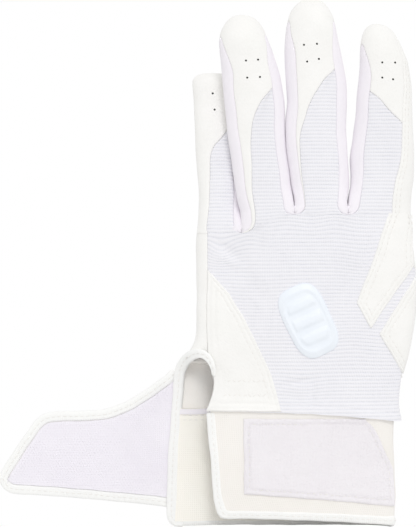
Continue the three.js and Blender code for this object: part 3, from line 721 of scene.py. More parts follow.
class Stall:
    """A finger stall that grows out of the hand."""

    up = (0, 0, 1)

    def __init__(self, finger, sleeve):
        self.finger, self.sleeve = finger, sleeve
        self.root_z = sleeve.shift[2]
        self.tip_start = 1 - finger["tip_round"] / finger["length"]
        self.gusset_top = self.tip_start + (1 - self.tip_start) * gusset_top_share
        self.low = (min(finger["base"]) - self.root_z) / finger["length"]
        self.root = self.opens_at = float(self.t_at(0.0))
        self.seam_share = through(finger["seam_at"], finger["seam"])
        self.seam_low, self.seam_high = finger["seam_at"][0], finger["seam_at"][-1]
        self.scale = finger["width"] / fingers["ring"]["width"]

    def t_at(self, r, share=0.5):
        """Place along the stall for a row r, from 0 where it leaves the hand to 1."""
        low = (base_height(self.finger, share) - self.root_z) / self.finger["length"]
        return low + r * (1 - low)

    def point(self, angle, r):
        across = (1 + signed_power(np.cos(angle), 2 / section_power)) / 2
        t = self.t_at(r, across)
        tube = self.sleeve.point(angle, t)
        left, right = self.finger["cell"]
        x, z = mix(left, right, across), tube[..., 2]
        above = z - base_height(self.finger, across)
        steep = mix(14, 3, smooth(above / 6))
        fullness = np.clip(steep * np.abs(np.sin(angle)) ** (2 / section_power), 0, 1)
        y = np.sign(np.sin(angle)) * fullness * hand_half_depth(x, z) + dip_at(x, z)
        cell = np.stack([x, y, z], -1)
        rounded = smooth(above / root_height)
        return mix(cell, tube, rounded[..., None])

    def gusset_ramp(self, t):
        """How far the gusset is open: a quarter circle at the crotch, and narrow at the tip."""
        left_over = (self.gusset_top - t) / (self.gusset_top - gusset_fade_share)
        near = np.clip((t - self.opens_at) * self.finger["length"] / crotch_round, 0, 1)
        opening = np.sqrt(np.maximum(1 - (1 - near) ** 2, 0))
        closing = smooth(left_over * 6)
        wide = mix(gusset_tip_share, 1, smooth(left_over))
        return wide * mix(0.02, 1, opening) * mix(0.02, 1, closing)

    def shown(self, side, t):
        """How much of the gusset, or of the palm leather, is seen from the back on a side."""
        if self.finger[side] == "gusset":
            return gusset_show * self.scale * self.gusset_ramp(t)
        if self.finger[side] == "leather":
            return np.minimum(wrap(t), self.sleeve.width(t) * 0.3)
        return 0 * t

    def back_left(self, t):
        return self.sleeve.back_angle(t, self.shown("left", t))

    def back_right(self, t):
        return self.sleeve.back_angle(t, self.sleeve.width(t) - self.shown("right", t))

    def seam(self, t):
        share = np.clip(self.seam_share(t), 0, 1)
        reach = self.sleeve.width(t) - self.shown("right", t)
        return self.sleeve.back_angle(t, mix(self.shown("left", t), reach, share))

    def tucked(self, t):
        """Above the gussets the palm's edge goes this far under the cap's."""
        above = float(smooth((t - self.gusset_top) / 0.03 + 1))
        return min(0.5, 0.05 * float(self.sleeve.width(t))) * above

    def turned_palm(self, side, t):
        """The angle that a gusset takes from the palm side."""
        return palm_gusset_angle * self.gusset_ramp(t) if self.finger[side] == "gusset" else 0

    def palm_right(self, t):
        if self.finger["right"] == "leather":
            return self.back_right(t)
        edge = self.sleeve.back_angle(t, self.sleeve.width(t) - self.tucked(t))
        return edge + self.turned_palm("right", t)

    def palm_left(self, t):
        edge = self.sleeve.back_angle(t, self.tucked(t)) + 2 * math.pi
        return edge - self.turned_palm("left", t)

    def cut(self, rows, start, end, middle):
        made, centres = [], []
        for r in rows:
            t = self.t_at(r)
            point = lambda angles, r=r: self.point(angles, r)
            made.append(arc_row(point, start(t), end(t), section_power, middle))
            centres.append(point(np.array([0, math.pi])).mean(axis=0))
        cut = Cut(made, centres=centres)
        # Near the crotch the seams swing fast, so the cloth faces the way its tube does there.
        for k in np.flatnonzero(np.asarray(rows) * self.finger["length"] < 6):
            cut.normal[k] = self.facing(made[k][2], rows[k], centres[k])
        if rows[-1] >= 1:
            cut.normal[-1] = cut.ahead
        return cut

    def facing(self, angles, r, centre):
        """The tube's outward normals at the angles of one row."""
        over = self.point(angles + 0.02, r) - self.point(angles - 0.02, r)
        along = self.point(angles, r + 0.004) - self.point(angles, r - 0.004)
        normal = np.cross(over, along)
        normal /= np.linalg.norm(normal, axis=1, keepdims=True) + 1e-9
        aim = self.point(angles, r) - centre
        return normal * np.where(np.sum(normal * aim, axis=1) > 0, 1, -1)[:, None]

    def rows(self, spacing, first=0.0, last=1.0):
        """Rows evenly along the tube, closing up over the rounded tip."""
        start = (self.tip_start - self.low) / (1 - self.low)
        length = self.finger["length"]
        body = np.linspace(first, start, max(2, round((start - first) * length / spacing)))
        if last <= start:
            return np.linspace(first, last, max(2, round((last - first) * length / spacing)))
        count = max(8, round(self.finger["tip_round"] * 1.4 / max(spacing, 0.7)))
        angles = np.linspace(0, math.pi / 2, count + 1)[1:]
        tip = start + (1 - start) * np.sin(angles)
        rows = np.concatenate([body, tip])
        if last < 1:
            rows = np.append(rows[rows < last - 0.002], last)
        return rows

    def opening_rows(self, rows):
        """More rows at the crotch, where a gusset opens in a quarter circle."""
        quarter = (1 - np.cos(np.linspace(0, math.pi / 2, 14))) * crotch_round
        quarter /= self.finger["length"] * (1 - self.root)
        return np.concatenate([quarter, rows[rows > quarter[-1] + 0.004]])

    def r_of(self, t):
        return (t - self.root) / (1 - self.root)


# Where the ribs are pulled off level: centre x and z, half width, half height, drop
rib_pulls = [
    (-26.0, 115.5, 5.0, 5.5, 3.2),
    (-14.0, 122.0, 5.0, 5.0, -1.2),
    (1.0, 128.0, 8.0, 5.0, -1.3),
    (21.0, 128.0, 7.0, 5.5, -1.5),
    (33.0, 112.0, 8.0, 9.0, 1.4),
    (-12.0, 98.0, 16.0, 9.0, 1.0),
    (8.0, 60.0, 7.0, 5.0, 1.3),
    (28.0, 78.0, 9.0, 9.0, -1.0),
]


def ribs(cut, up=(0, 0, 1)):
    """Ribs of the knit at one pitch up the glove, 1 on a rib and 0 between two."""
    place = cut.grid @ np.array(up, float)
    for x, z, wide, high, drop in rib_pulls:
        across, along = (cut.grid[..., 0] - x) / wide, (cut.grid[..., 2] - z) / high
        place = place + drop * np.exp(-across**2 - along**2)
    return np.abs(np.cos(math.pi * place / rib_pitch)) ** 0.5


def seam_relief(cut, depth=0.5, reach=1.3):
    return -turned_down(cut.from_left, depth, reach) - turned_down(cut.from_right, depth, reach)


def before_tip(cut):
    """1 along a stall and 0 at its tip, where its seams run out."""
    return smooth((cut.along[-1:] - cut.along) / 2.0)


# %% [markdown]
# ## Which body each piece follows
# A glove has no hinges: it bends where its cloth does. Here a finger's stall, the strap's pieces and the
# thumb's web stay where they are, baked in place with no body, and every other piece rides on one body.

# %% Bodies and the solids that pieces stand for
def bend_finger(obj, name):
    """Bakes the stall's place into its mesh. The rise across its root line is worked out, but nothing
    uses it.
    """
    (left, right), (low, high) = fingers[name]["cell"], fingers[name]["base"]
    rise = np.cross([right - left, 0, high - low], [0, 1, 0])
    rise *= root_height / np.linalg.norm(rise)
    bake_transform(obj)


def dress(obj, body, node=None):
    """Hides the solid that a piece stands for and parents the piece to its body. A finger's or the
    strap's piece is only baked in place.
    """
    if node:
        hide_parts(node)
    if body in fingers:
        bend_finger(obj, body)
    elif body == "strap":
        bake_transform(obj)
    else:
        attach(obj, body)


# %% Stitching is collected while the pieces are cut
stitch_lines = []


def sew(points, normals, body, pitch=2.4):
    """Notes a line of stitches along points, to be made in thread later."""
    stitch_lines.append((np.array(points), np.array(normals), body, pitch))


def sew_beside(cut, side, distance, height, body, rows=slice(None)):
    """A line of stitches on a cut piece, at a distance from one of its sides."""
    line, normal = cut.line(side, distance)
    sew((line + normal * height)[rows], normal[rows], body)


# %% Vents
# Four holes are punched through each finger's cap, so that the fingertips can breathe. They are cut with
# one set of round punches, and the cut mesh takes the place of the first one.
vent_radius = 0.45
vent_places = {
    "ring": [(-15.7, 195.0), (-10.7, 195.4), (-15.2, 187.9), (-9.9, 188.2)],
    "middle": [(8.4, 201.6), (13.8, 202.0), (9.7, 194.6), (14.6, 195.7)],
    "index": [(40.9, 194.2), (46.3, 194.2), (40.9, 187.9), (45.4, 187.2)],
    "pinky": [(-29.5, 182.9), (-24.3, 182.6), (-28.7, 175.9), (-23.5, 175.6)],
}


def punch(obj, name, finger):
    shape = bmesh.new()
    turn = Matrix.Rotation(math.pi / 2, 4, "X")
    for x, z in vent_places[name]:
        front = finger.get("dip", 0) + finger.get("tilt", 0) * (z - knuckle) - finger["depth"] / 2
        place = Matrix.Translation(Vector((x, front, z)) * MM) @ turn
        bmesh.ops.create_cone(shape, cap_ends=True, segments=14, radius1=vent_radius * MM,
                              radius2=vent_radius * MM, depth=9 * MM, matrix=place)
    punches = bpy.data.meshes.new("punches")
    shape.to_mesh(punches)
    shape.free()
    tool = link_new("punches", punches)
    cutting = obj.modifiers.new("vents", "BOOLEAN")
    cutting.operation, cutting.solver, cutting.object = "DIFFERENCE", "EXACT", tool
    shapes = bpy.context.evaluated_depsgraph_get()
    cut_mesh = bpy.data.meshes.new_from_object(obj.evaluated_get(shapes))
    obj.modifiers.clear()
    obj.data = cut_mesh
    cut_mesh.set_sharp_from_angle(angle=math.radians(58))
    bpy.data.objects.remove(tool)


# %% Making the stalls
def make_stall(name, stall):
    """Makes the pieces of one stall and returns the cut of its palm, for stitches beside it."""
    finger = stall.finger
    high = stall.r_of(stall.seam_high)
    if finger["knit"] == "right":
        low = 0.0
        knit_edges = stall.seam, stall.back_right
        cap_edges = stall.back_left, lambda t: (
            stall.seam(t) if t < stall.seam_high else stall.back_right(t))
    else:
        low = max(stall.r_of(stall.seam_low), 0.0)
        knit_edges = stall.back_left, lambda t: (
            stall.back_right(t) if t < stall.seam_low else stall.seam(t))
        cap_edges = lambda t: (
            stall.seam(t) if t < stall.seam_high else stall.back_left(t)), stall.back_right

    knit = stall.cut(stall.rows(0.25, 0.0, high), *knit_edges, 18)
    rib = ribs(knit, stall.up)
    height = rib_depth * (rib - rib_rest) + seam_relief(knit)
    obj = cloth_piece(f"{name}_back_cloth", knit, height, knit_wall, ["rib_knit"], rib)
    dress(obj, name, f"{name}_back")

    rows = np.concatenate([stall.rows(0.7, low, high), stall.rows(0.7, high, 1.0)[1:]])
    cap = stall.cut(rows, *cap_edges, 16)
    height = seam_relief(cap, 0.35, 1.0) * before_tip(cap) + 0.25
    obj = cloth_piece(f"{name}_cap_leather", cap, height, leather_wall, ["leather"])
    if name in vent_places:
        punch(obj, name, finger)
    dress(obj, name, f"{name}_cap")

    palm = stall.cut(stall.opening_rows(stall.rows(0.8)), stall.palm_right, stall.palm_left, 22)
    height = mix(0.25, seam_relief(palm, 0.35, 1.0), before_tip(palm))
    obj = cloth_piece(f"{name}_palm_leather", palm, height, leather_wall, ["leather"])
    dress(obj, name, f"{name}_palm")

    rows = stall.opening_rows(stall.rows(0.7, 0.0, stall.r_of(stall.gusset_top)))
    edges = {
        "left": (stall.palm_left, lambda t: stall.back_left(t) + 2 * math.pi),
        "right": (stall.back_right, stall.palm_right),
    }
    sides = [side for side in edges if finger[side] == "gusset"]
    for side in sides:
        gusset = stall.cut(rows, *edges[side], 8)
        label = f"{name}_gusset_{side}" if len(sides) > 1 else f"{name}_gusset"
        obj = cloth_piece(f"{label}_jersey", gusset, seam_relief(gusset, 0.6), 0.8, ["jersey"])
        dress(obj, name, label)
    return palm


palms = {name: make_stall(name, Stall(finger, stall_sleeve(finger)))
         for name, finger in fingers.items()}
index_palm = palms["index"]
for distance in (1.3, 3.0):
    sew_beside(index_palm, "left", distance, 0.02, "index", index_palm.grid[:, 0, 2] < 196)
print("stalls made:", ", ".join(palms))

# %% [markdown]
# ## Back panel and palm
# The back of the hand is one rib knit panel whose hem hangs a little over the cuff, lower at
# the thumb side. The palm leather comes round the little finger side to a seam on the back, and
# below the slit's arch it unrolls into a flat flap, whose suede inside shows through the slit.

# %% Cutting the hand's pieces
hem_height = through(
    [-36, -27, -14, 5, 20, 33, 47, 56], [49.9, 49.7, 49.2, 48.7, 47.9, 46.8, 45.2, 44.6]
)


def crotch_height(x):
    """Where the hand's pieces end and the stalls begin."""
    low, high = fingers["ring"]["base"]
    left, right = fingers["ring"]["cell"]
    return mix(low, high, smooth((x - left) / (right - left)))


def row_height(r, foot=cuff_height):
    """The height of row r of a piece that runs from its foot to the fingers' root line."""
    return mix(foot, root_line, r)


def hand_point(angles, r, hem):
    x = hand.point(angles, hand_share(row_height(r)))[..., 0]
    z = mix(hem(x), crotch_height(x), r)
    return hand.point(angles, hand_share(z))


def flat_hem(x):
    return 0 * x + cuff_height + 0.1


def row_centre(r, hem):
    return hand_point(np.array([0, math.pi]), r, hem).mean(axis=0)


def thumb_side_share(r, hem):
    """Where a row ends on the thumb side, whose hem hangs lower."""
    return hand_share(row_height(r, float(hem(thumb_side_x))))


def cut_hand(rows, start, end, middle, hem=flat_hem):
    made = []
    for r in rows:
        t = hand_share(row_height(r))
        point = lambda angles, r=r: hand_point(angles, r, hem)
        start_angle, end_angle = float(start(t)), float(end(thumb_side_share(r, hem)))
        made.append(arc_row(point, start_angle, end_angle, hand.power(t), middle))
    return Cut(made, centres=[row_centre(r, hem) for r in rows])


def hem_lift(above):
    """The folded hem stands off the cuff, at a height above the hem line."""
    return 1 - smooth(above / 7) - 0.25 * np.exp(-((above - 3.2) / 0.6) ** 2)


# The last rows are a tongue that lies a little under the stalls' roots.
tongue, tongue_drop = 3, 0.4
back_rows = np.append(np.linspace(0, 1, 330), [1.001, 1.004, 1.008])
back = cut_hand(back_rows, back_from, back_to, 88, hem_height)
back_height = rib_depth * (ribs(back) - rib_rest) + seam_relief(back)
back_height += hem_lift(back.above_hem)
back_height[-tongue:] -= tongue_drop
obj = cloth_piece("back_panel_cloth", back, back_height, knit_wall, ["rib_knit"], ribs(back))
dress(obj, "hand", "back_panel")
print("back panel", back.grid.shape)

# %% The palm leather and its flap
flap_x = through([0, 12, 35, 60, 75], [-45.6, -45.3, -44.2, -43.0, -41.8])
arch_top, arch_rise = 75.2, 5.2
side_x = through(
    [60, 66.8, 70.1, 74.3, 78.5, 83, 92], [-43.5, -44.6, -43.2, -40.6, -38.2, -36.9, -36.3]
)


def at_thumb(x):
    return smooth((x - 28) / 22)


def palm_hem(x):
    """Level with the cuff, and down to the back's hem where the two meet at the thumb side."""
    return mix(flat_hem(x), hem_height(x), at_thumb(x))


def mouth_open(t):
    """1 along the thumb's mouth and 0 above and below it."""
    low, high = (hand_share(v) for v in thumb_mouth)
    return smooth((t - low) / 0.06) * smooth((high - t) / 0.06)


def palm_row(r, middle):
    z = row_height(r)
    t = hand_share(z)
    roll = float(smooth((z - arch_top + arch_rise) / arch_rise))
    seam = float(back_from(t)) + 2 * math.pi
    right = thumb_side_share(r, hem_height)
    start = float(back_to(right)) if right > 0.7 else mouth_angle * float(mouth_open(right))
    end = mix(flap_angle, seam - 0.02, roll)
    last = hand_point(np.array([seam]), r, flat_hem)[0]
    flat = np.array([float(flap_x(z)), flap_end[1], last[2]])

    def point(angles):
        line = hand_point(np.minimum(angles, end), r, palm_hem)
        line[angles > end] = mix(flat, last, roll)
        # The little finger side follows its own line, and the suede in the slit lies higher.
        beyond = smooth((-31.4 - line[:, 0]) / 4.4) * smooth((z - 62) / 5) * smooth((96 - z) / 4)
        line[:, 0] += (float(side_x(z)) - line[:, 0].min()) * beyond
        inner = smooth((line[:, 1] - 2) / 3) * smooth((-24 - line[:, 0]) / 8)
        inner *= smooth((line[:, 0] + 42.6) / 4)
        line[:, 1] -= 4.4 * inner * smooth((z - 50) / 8) * smooth((80 - z) / 8)
        return line

    return arc_row(point, start, end + 1e-4, hand.power(t), middle)


palm_rows = np.concatenate([
    np.linspace(0, 0.25, 20), np.linspace(0.25, 0.33, 26)[1:], np.linspace(0.33, 1, 70)[1:],
    [1.001, 1.005, 1.01],
])
palm = Cut([palm_row(r, 84) for r in palm_rows],
           centres=[row_centre(r, flat_hem) for r in palm_rows])
height = seam_relief(palm, 0.35, 1.0) + hem_lift(palm.above_hem) * at_thumb(palm.grid[..., 0])
height[-tongue:] -= tongue_drop
obj = cloth_piece("palm_panel_leather", palm, height, leather_wall, ["leather", "suede"])
dress(obj, "hand", "palm_panel")

# %% [markdown]
# ## Leather patches on the back
# Three patches guard the wrist and the root of the thumb. Each is a single skin laid on the
# knit and sewn down with a double row, which draws its edge in and leaves a soft roll outside.


# %% Patches
def hand_front(x, z):
    """Points on the back of the hand, seen straight from the front."""
    return wander(np.stack([x, dip_at(x, z) - hand_half_depth(x, z), z], -1))


# Each seam: its distance from the edge, its depth and how high its thread lies
patch_seams = [(1.5, 0.22, 0.62), (3.7, 0.16, 0.7)]


def share_curve(points):
    """An edge x(z) through points given as shares of the palm's width and the hand's length."""
    heights = [cuff_height + z * hand_length for _, z in points]
    places = [hand_shift + x * palm_width for x, _ in points]
    return lambda z: np.interp(z, heights, places)


def make_patch(name, low, high, left, right, sides, middle=26, spacing=0.6):
    """A patch between two edges x(z), given as curves or None for the seam or the fold."""
    made = []
    for z in np.linspace(low, high, round((high - low) / spacing)):
        t = hand_share(z)
        side = float(hand.left(t)[0])
        start = float(hand.back_angle(t, left(z) - side)) if left else float(back_from(t))
        end = float(hand.back_angle(t, right(z) - side)) if right else 0.02
        point = lambda angles, t=t: hand.point(angles, t)
        made.append(arc_row(point, start, max(end, start + 0.004), hand.power(t), middle))
    cut = Cut(made, outward=(0.3, -1, 0))
    height = 0.85 - turned_down(cut.edge, 0.6, 0.7)
    for distance, depth, _ in patch_seams:
        height -= depth * np.exp(-((cut.edge - distance) / 0.45) ** 2)
    height = mix(height, 0.1, smooth((cut.grid[..., 2] - 124) / 7))
    height += hem_lift(cut.grid[..., 2] - hem_height(cut.grid[..., 0])) * (low < 60)
    obj = cloth_piece(f"{name}_leather", cut, height, 0.25, ["leather"])
    dress(obj, "hand", name)
    for side in sides:
        for distance, _, lift in patch_seams:
            wide = cut.across[:, -1] > distance + 2
            sew_beside(cut, side, distance, lift, "hand", rows=wide)


wrist_right = share_curve([
    (-0.084, -0.1), (-0.159, 0.187), (-0.219, 0.325), (-0.275, 0.467), (-0.345, 0.589),
    (-0.448, 0.71),
])
make_patch("pinky_side_patch", 49.3, 107.9, None, wrist_right, ["right"])
upper_left = share_curve([(0.303, 0.416), (0.238, 0.548), (0.397, 1.025)])
upper_right = share_curve([(0.303, 0.416), (0.509, 0.746), (0.509, 0.747)])
make_patch("thumb_patch_upper", 83.8, 131.6, upper_left,
           lambda z: np.where(z > 110.6, 53.6, upper_right(z)), ["left", "right"])
lower_left = share_curve([(0.453, 0.182), (0.341, 0.39), (0.513, 0.68)])
make_patch("thumb_patch_lower", 64.4, 105.2, lower_left, None, ["left"])


# Two zigzag rows hold the elastic inside the wrist.
def zigzag(height, first, last, swing=0.75, half_pitch=2.0):
    x = np.arange(first, last, half_pitch)
    z = height + swing * np.where(np.arange(len(x)) % 2, 1, -1)
    corners = hand_front(x, z) + np.array([0, -0.88, 0])
    for a, b in zip(corners[:-1], corners[1:]):
        inside = mix(a, b, 0.12), mix(a, b, 0.88)
        sew(inside, [(0, -1, 0)] * 2, "hand", 9.0)


zigzag(62.2, -24.0, -7.0)
zigzag(56.2, -25.5, -6.0)

# %% [markdown]
# ## Badge
# A moulded rubber lozenge is bonded to the back of the hand. It is plain: rounded corners, a
# rim and three ridges. It is built in rings from its centre, so that it closes without a seam.

# %% The badge
badge_width, badge_height, badge_tilt = 19.0, 31.0, math.radians(25)
badge_place, badge_power = (10.1, 87.0), 0.62
flat_share, dome, rim_rise, ridge_rise, ridge_apart = 0.8, 1.15, 0.35, 0.75, 0.235


def badge_mesh():
    """Points and faces of rings from the middle outwards, and of the same rings on the cloth."""
    bend = 0.2 * np.sin(np.linspace(0, math.pi / 2, 9))[1:]
    rings = np.concatenate([np.linspace(0.02, flat_share, 22), flat_share + bend])[:, None]
    turns = np.linspace(0, 2 * math.pi, 121)[:-1]
    a = rings * (signed_power(np.cos(turns), badge_power) * badge_width / 2)
    b = rings * (signed_power(np.sin(turns), badge_power) * badge_height / 2)
    height = dome * np.sqrt(np.clip(1 - ((rings - flat_share) / 0.2).clip(0) ** 2, 0, 1))
    inside = smooth((0.72 - rings) / 0.12)
    for side in (-1, 0, 1):
        ridge = smooth(1.6 - np.abs(b - side * badge_height * ridge_apart) / 1.7)
        height = height + ridge_rise * ridge * inside
    height = height + rim_rise * np.exp(-((rings - 0.83) / 0.05) ** 2)
    c, s = math.cos(badge_tilt), math.sin(badge_tilt)
    x, z = badge_place[0] + a * c - b * s, badge_place[1] + a * s + b * c
    top = hand_front(x, z)
    base = top.copy()
    top[..., 1] -= 0.2 + height
    base[..., 1] += 0.1
    ids, other = numbered(*a.shape, closed=True)
    sides = [cell_quads(ids), quads_between(ids[-1], other[-1]), cell_quads(other)[:, ::-1]]
    faces = np.concatenate(sides).tolist() + [ids[0, -2::-1].tolist(), other[0, :-1].tolist()]
    return np.concatenate([top.reshape(-1, 3), base.reshape(-1, 3)]), faces


obj = finish_mesh("badge_rubber", *badge_mesh(), ["rubber"])
dress(obj, "hand", "badge")

# %% [markdown]
# ## Edge tape
# Raw foam edges are wrapped in a woven tape, folded in half over the edge and sewn through. Seen
# from outside it is a flattened roll with a stitch line down its middle, so it is swept: one
# section carried along the edge, turned to the cloth's own normal.


# %% Sweeping a roll
def resample(path, spacing):
    path = np.array(path, float)
    run = run_along(path)
    return sample(path, run, np.linspace(0, run[-1], max(3, round(run[-1] / spacing) + 1)))


def rounded_path(points, spacing=0.8):
    """A smooth path through given points."""
    points = np.array(points, float)
    run = run_along(points)
    at = np.linspace(0, run[-1], max(3, round(run[-1] / spacing) + 1))
    return np.stack([through(run, points[:, k])(at) for k in range(3)], -1)


def swept(name, path, facing, width, thick, finish, power=2.6, sides=20, taper=None, groove=0.32):
    """A closed roll along a path: wide across the facing normal, thick along it."""
    path = np.array(path, float)
    tangent = np.gradient(path, axis=0)
    tangent /= np.linalg.norm(tangent, axis=1, keepdims=True)
    facing = np.broadcast_to(np.array(facing, float), path.shape)
    facing = facing - np.sum(facing * tangent, axis=1, keepdims=True) * tangent
    facing = facing / np.linalg.norm(facing, axis=1, keepdims=True)
    beside = np.cross(tangent, facing)
    turn = np.linspace(0, 2 * math.pi, sides + 1)[:-1]
    a = signed_power(np.cos(turn), 2 / power) * width / 2
    b = signed_power(np.sin(turn), 2 / power) * thick / 2
    b = b - groove * np.exp(-(a / 0.45) ** 2) * (b > 0)
    run = run_along(path)
    end = np.minimum(run, run[-1] - run)
    full = np.sqrt(1 - (1 - np.clip(end / 0.8, 0, 1)) ** 2 * 0.6)
    full = full if taper is None else full * taper(run / run[-1])
    grid = (
        path[:, None] + beside[:, None] * (a * full[:, None])[..., None]
        + facing[:, None] * (b * full[:, None])[..., None]
    )
    grid = wander(grid)
    ids, _ = numbered(*grid.shape[:2], closed=True)
    faces = cell_quads(ids).tolist() + [ids[0, -2::-1].tolist(), ids[-1, :-1].tolist()]
    uv = np.stack(np.broadcast_arrays(a[None] + 0 * run[:, None], run[:, None]), -1)
    obj = finish_mesh(name, grid.reshape(-1, 3), faces, [finish], uv.reshape(-1, 2))
    centre = wander(path + facing * (thick / 2 - 0.25))
    return obj, centre, facing


# %% [markdown]
# ## Crotches
# The gusset strip runs down one finger, round the crotch and up the next. The part that lies in
# the crotch is a short saddle across the hand, which closes each fork.

# %% Saddles between the fingers
crotches = [
    ("pinky_ring", -17.5, pinky_line), ("ring_middle", 4.5, root_line),
    ("middle_index", 26.8, root_line),
]
for label, x, z in crotches:
    half = float(hand_half_depth(x, z)) - 1.3
    middle = float(dip_at(x, z))
    path = [(x, middle + y, z + 1.5) for y in np.linspace(-half, half, 22)]
    obj, _, _ = swept(f"crotch_{label}_jersey", path, (0, 0, 1), 7.4, 4.4, "jersey", groove=0.0)
    dress(obj, "hand")

# %% [markdown]
# ## Cuff
# The cuff is foam-backed jersey with a woven tape round its edges. Its back carries the loop
# patch that the strap closes on. Its palm side shows only its lining, through the slit.

# %% The cuff's tube
cuff_left, cuff_right = cuff_shift - cuff_width / 2, cuff_shift + cuff_width / 2
cuff = Sleeve(
    lambda z: np.array([cuff_left + 0 * z, z]),
    lambda z: np.array([cuff_right + 0 * z, z]),
    level(cuff_depth),
    level(cuff_power),
)
tape_width, tape_thick, foam = 3.3, 3.1, 1.9
free_edge = through([0, 0.12, 0.3, 1], [1, 0.72, 0.4, 0])


def free_edge_x(z):
    return cuff_left + mix(4.6, 10.6, free_edge(np.clip(z / cuff_top, 0, 1)))


def foot_rise(x):
    """The lower edge of the cuff's back rises a little towards the slit."""
    return mix(2.2, 0.2, np.clip((x - cuff_left - 5) / (cuff_width - 5), 0, 1))


def cuff_cut(low, high, start, end, middle, spacing=0.9, rise=0.0):
    made = []
    for z in np.linspace(low, high, round((high - low) / spacing)):
        def point(angles, z=z):
            x = cuff.point(angles, z)[..., 0]
            return cuff.point(angles, z + rise * foot_rise(x) * (high - z) / (high - low))

        made.append(arc_row(point, float(start(z)), float(end(z)), cuff_power, middle))
    return Cut(made, outward=(0, -1, 0))


cuff_back = cuff_cut(
    tape_width * 0.5, cuff_top + 1.4,
    lambda z: cuff.back_angle(z, free_edge_x(z) + tape_width * 0.5 - cuff_left),
    lambda z: 0.0, 60, rise=1.0,
)
obj = cloth_piece("cuff_back_cloth", cuff_back, 0 * cuff_back.across, foam, ["cuff_cloth"])
dress(obj, "hand", "cuff_back")


def cuff_row(z, middle=70):
    """The palm side of the cuff, from its fold to the end of its flap."""
    def point(angles):
        line = cuff.point(np.minimum(angles, flap_angle), z)
        line[angles > flap_angle] = (float(flap_x(z)), flap_end[1], z)
        return line

    return arc_row(point, 0.0, flap_angle + 1e-4, cuff_power, middle)


rows = np.linspace(tape_width * 0.5, cuff_top + 0.35, 52)
cuff_palm = Cut([cuff_row(z) for z in rows], outward=(0, 1, 0))
obj = cloth_piece("cuff_palm_cloth", cuff_palm, 0 * cuff_palm.across, foam, ["cuff_cloth"])
dress(obj, "hand", "cuff_palm")
outer = cuff_palm.grid - cuff_palm.normal * (foam + 0.15)
obj = sheet_piece("cuff_lining_tricot", outer, outer - cuff_palm.normal * 0.5, ["lining"],
                  cuff_palm)
dress(obj, "hand", "cuff_lining")
for z in (46.2, 44.5):
    row = int(np.argmin(np.abs(rows - z)))
    inward = -cuff_palm.normal[row, 12:-3]
    sew(outer[row, 12:-3] + inward * 0.52, inward, "hand")
band = Cut([cuff_row(z) for z in np.linspace(46.9, cuff_top + 0.2, 5)], outward=(0, 1, 0))
outer = band.grid - band.normal * (foam + 0.75)
obj = sheet_piece("cuff_seam_band", outer, outer - band.normal * 0.45, ["jersey"], band)
dress(obj, "hand")

# %% Elastic inside the back of the wrist
elastic = cut_hand(
    np.linspace(0.08, 0.165, 10), lambda t: back_from(t) + 0.14, lambda t: -0.14, 40
)
outer = elastic.grid - elastic.normal * (knit_wall + 0.25)
obj = sheet_piece("wrist_elastic_web", outer, outer - elastic.normal * 0.8, ["elastic"], elastic)
dress(obj, "hand", "wrist_elastic")

# %% Loop patch
loop_left, loop_base, loop_top = -16.6, 11.0, 46.3
loop_right = through(
    [8.8, 24, 26.5, 31.5, 37.4, 42.8, 45.8], [45.6, 45.4, 44.9, 42.4, 39.9, 37.2, 34.0]
)
loop = cuff_cut(
    loop_base, loop_top,
    lambda z: cuff.back_angle(z, loop_left - cuff_left),
    lambda z: cuff.back_angle(z, loop_right(z) - cuff_left),
    110, spacing=0.45,
)
slope = smooth(1 - (loop.grid[..., 2] - loop_base) / 20) * (2.2 - (loop.grid[..., 0] + 16) * 0.075)
loop.grid[..., 2] += slope
seam_in, pile_top = 2.3, 0.75
pile = wave_seed.normal(size=loop.edge.shape) * 0.03
height = 1.05 - turned_down(loop.edge, 0.75, 1.2) + pile * smooth(loop.edge)
height -= 0.3 * np.exp(-((loop.edge - seam_in) / 0.5) ** 2)
for side in ("left", "right"):
    sew_beside(loop, side, seam_in, pile_top, "hand")
for place in (seam_in, loop.along[-1, 50] - seam_in):
    row = int(np.argmin(np.abs(loop.along[:, 50] - place)))
    sew((loop.grid + loop.normal * pile_top)[row, 8:-8], loop.normal[row, 8:-8], "hand")
obj = cloth_piece("loop_patch_pile", loop, height, -0.1, ["loop_pile"])
dress(obj, "hand", "loop_patch")

# %% Tapes of the cuff
edge_z = np.linspace(cuff_top, 6.7, 60)
side_path = [(float(free_edge_x(z)) + tape_width / 2, 0, z) for z in edge_z]
corner_x = side_path[-1][0]
side_path += [(corner_x + 0.9, 0, 4.9), (corner_x + 2.4, 0, tape_width / 2 + 2.3)]
side_path += [
    (x, 0, tape_width / 2 + float(foot_rise(x)))
    for x in np.linspace(corner_x + 4, cuff_right - 0.4, 80)
]
inset = foam / 2


def on_cuff_back(p):
    x = np.clip(p[:, 0], cuff_left + 0.01, cuff_right - 0.01)
    u = np.abs(2 * (x - cuff_shift) / cuff_width)
    y = -(cuff_depth / 2 * (1 - u**cuff_power) ** (1 / cuff_power)) + inset
    return np.stack([p[:, 0], y, p[:, 2]], -1)


path = on_cuff_back(resample(side_path, 0.8))
obj, cuff_tape_line, facing = swept("cuff_back_tape", path, (0.0, -1, 0), 4.0, tape_thick, "tape")
dress(obj, "hand", "cuff_back_binding")
sew(cuff_tape_line, facing, "hand")

low_row = cuff_row(tape_width / 2, 120)[0]
low_cut = Cut([cuff_row(z, 120) for z in (tape_width / 2 - 0.5, tape_width / 2 + 0.5)],
              outward=(0, 1, 0))
path = resample(low_row - low_cut.normal[0] * inset, 0.8)
out = np.gradient(path, axis=0)
facing = np.cross(out, (0, 0, 1))
facing *= np.sign(facing[len(facing) // 2, 1])
obj, line, facing = swept("cuff_palm_tape", path, facing, 4.0, tape_thick, "tape")
dress(obj, "hand", "cuff_palm_binding")
sew(line, facing, "hand")
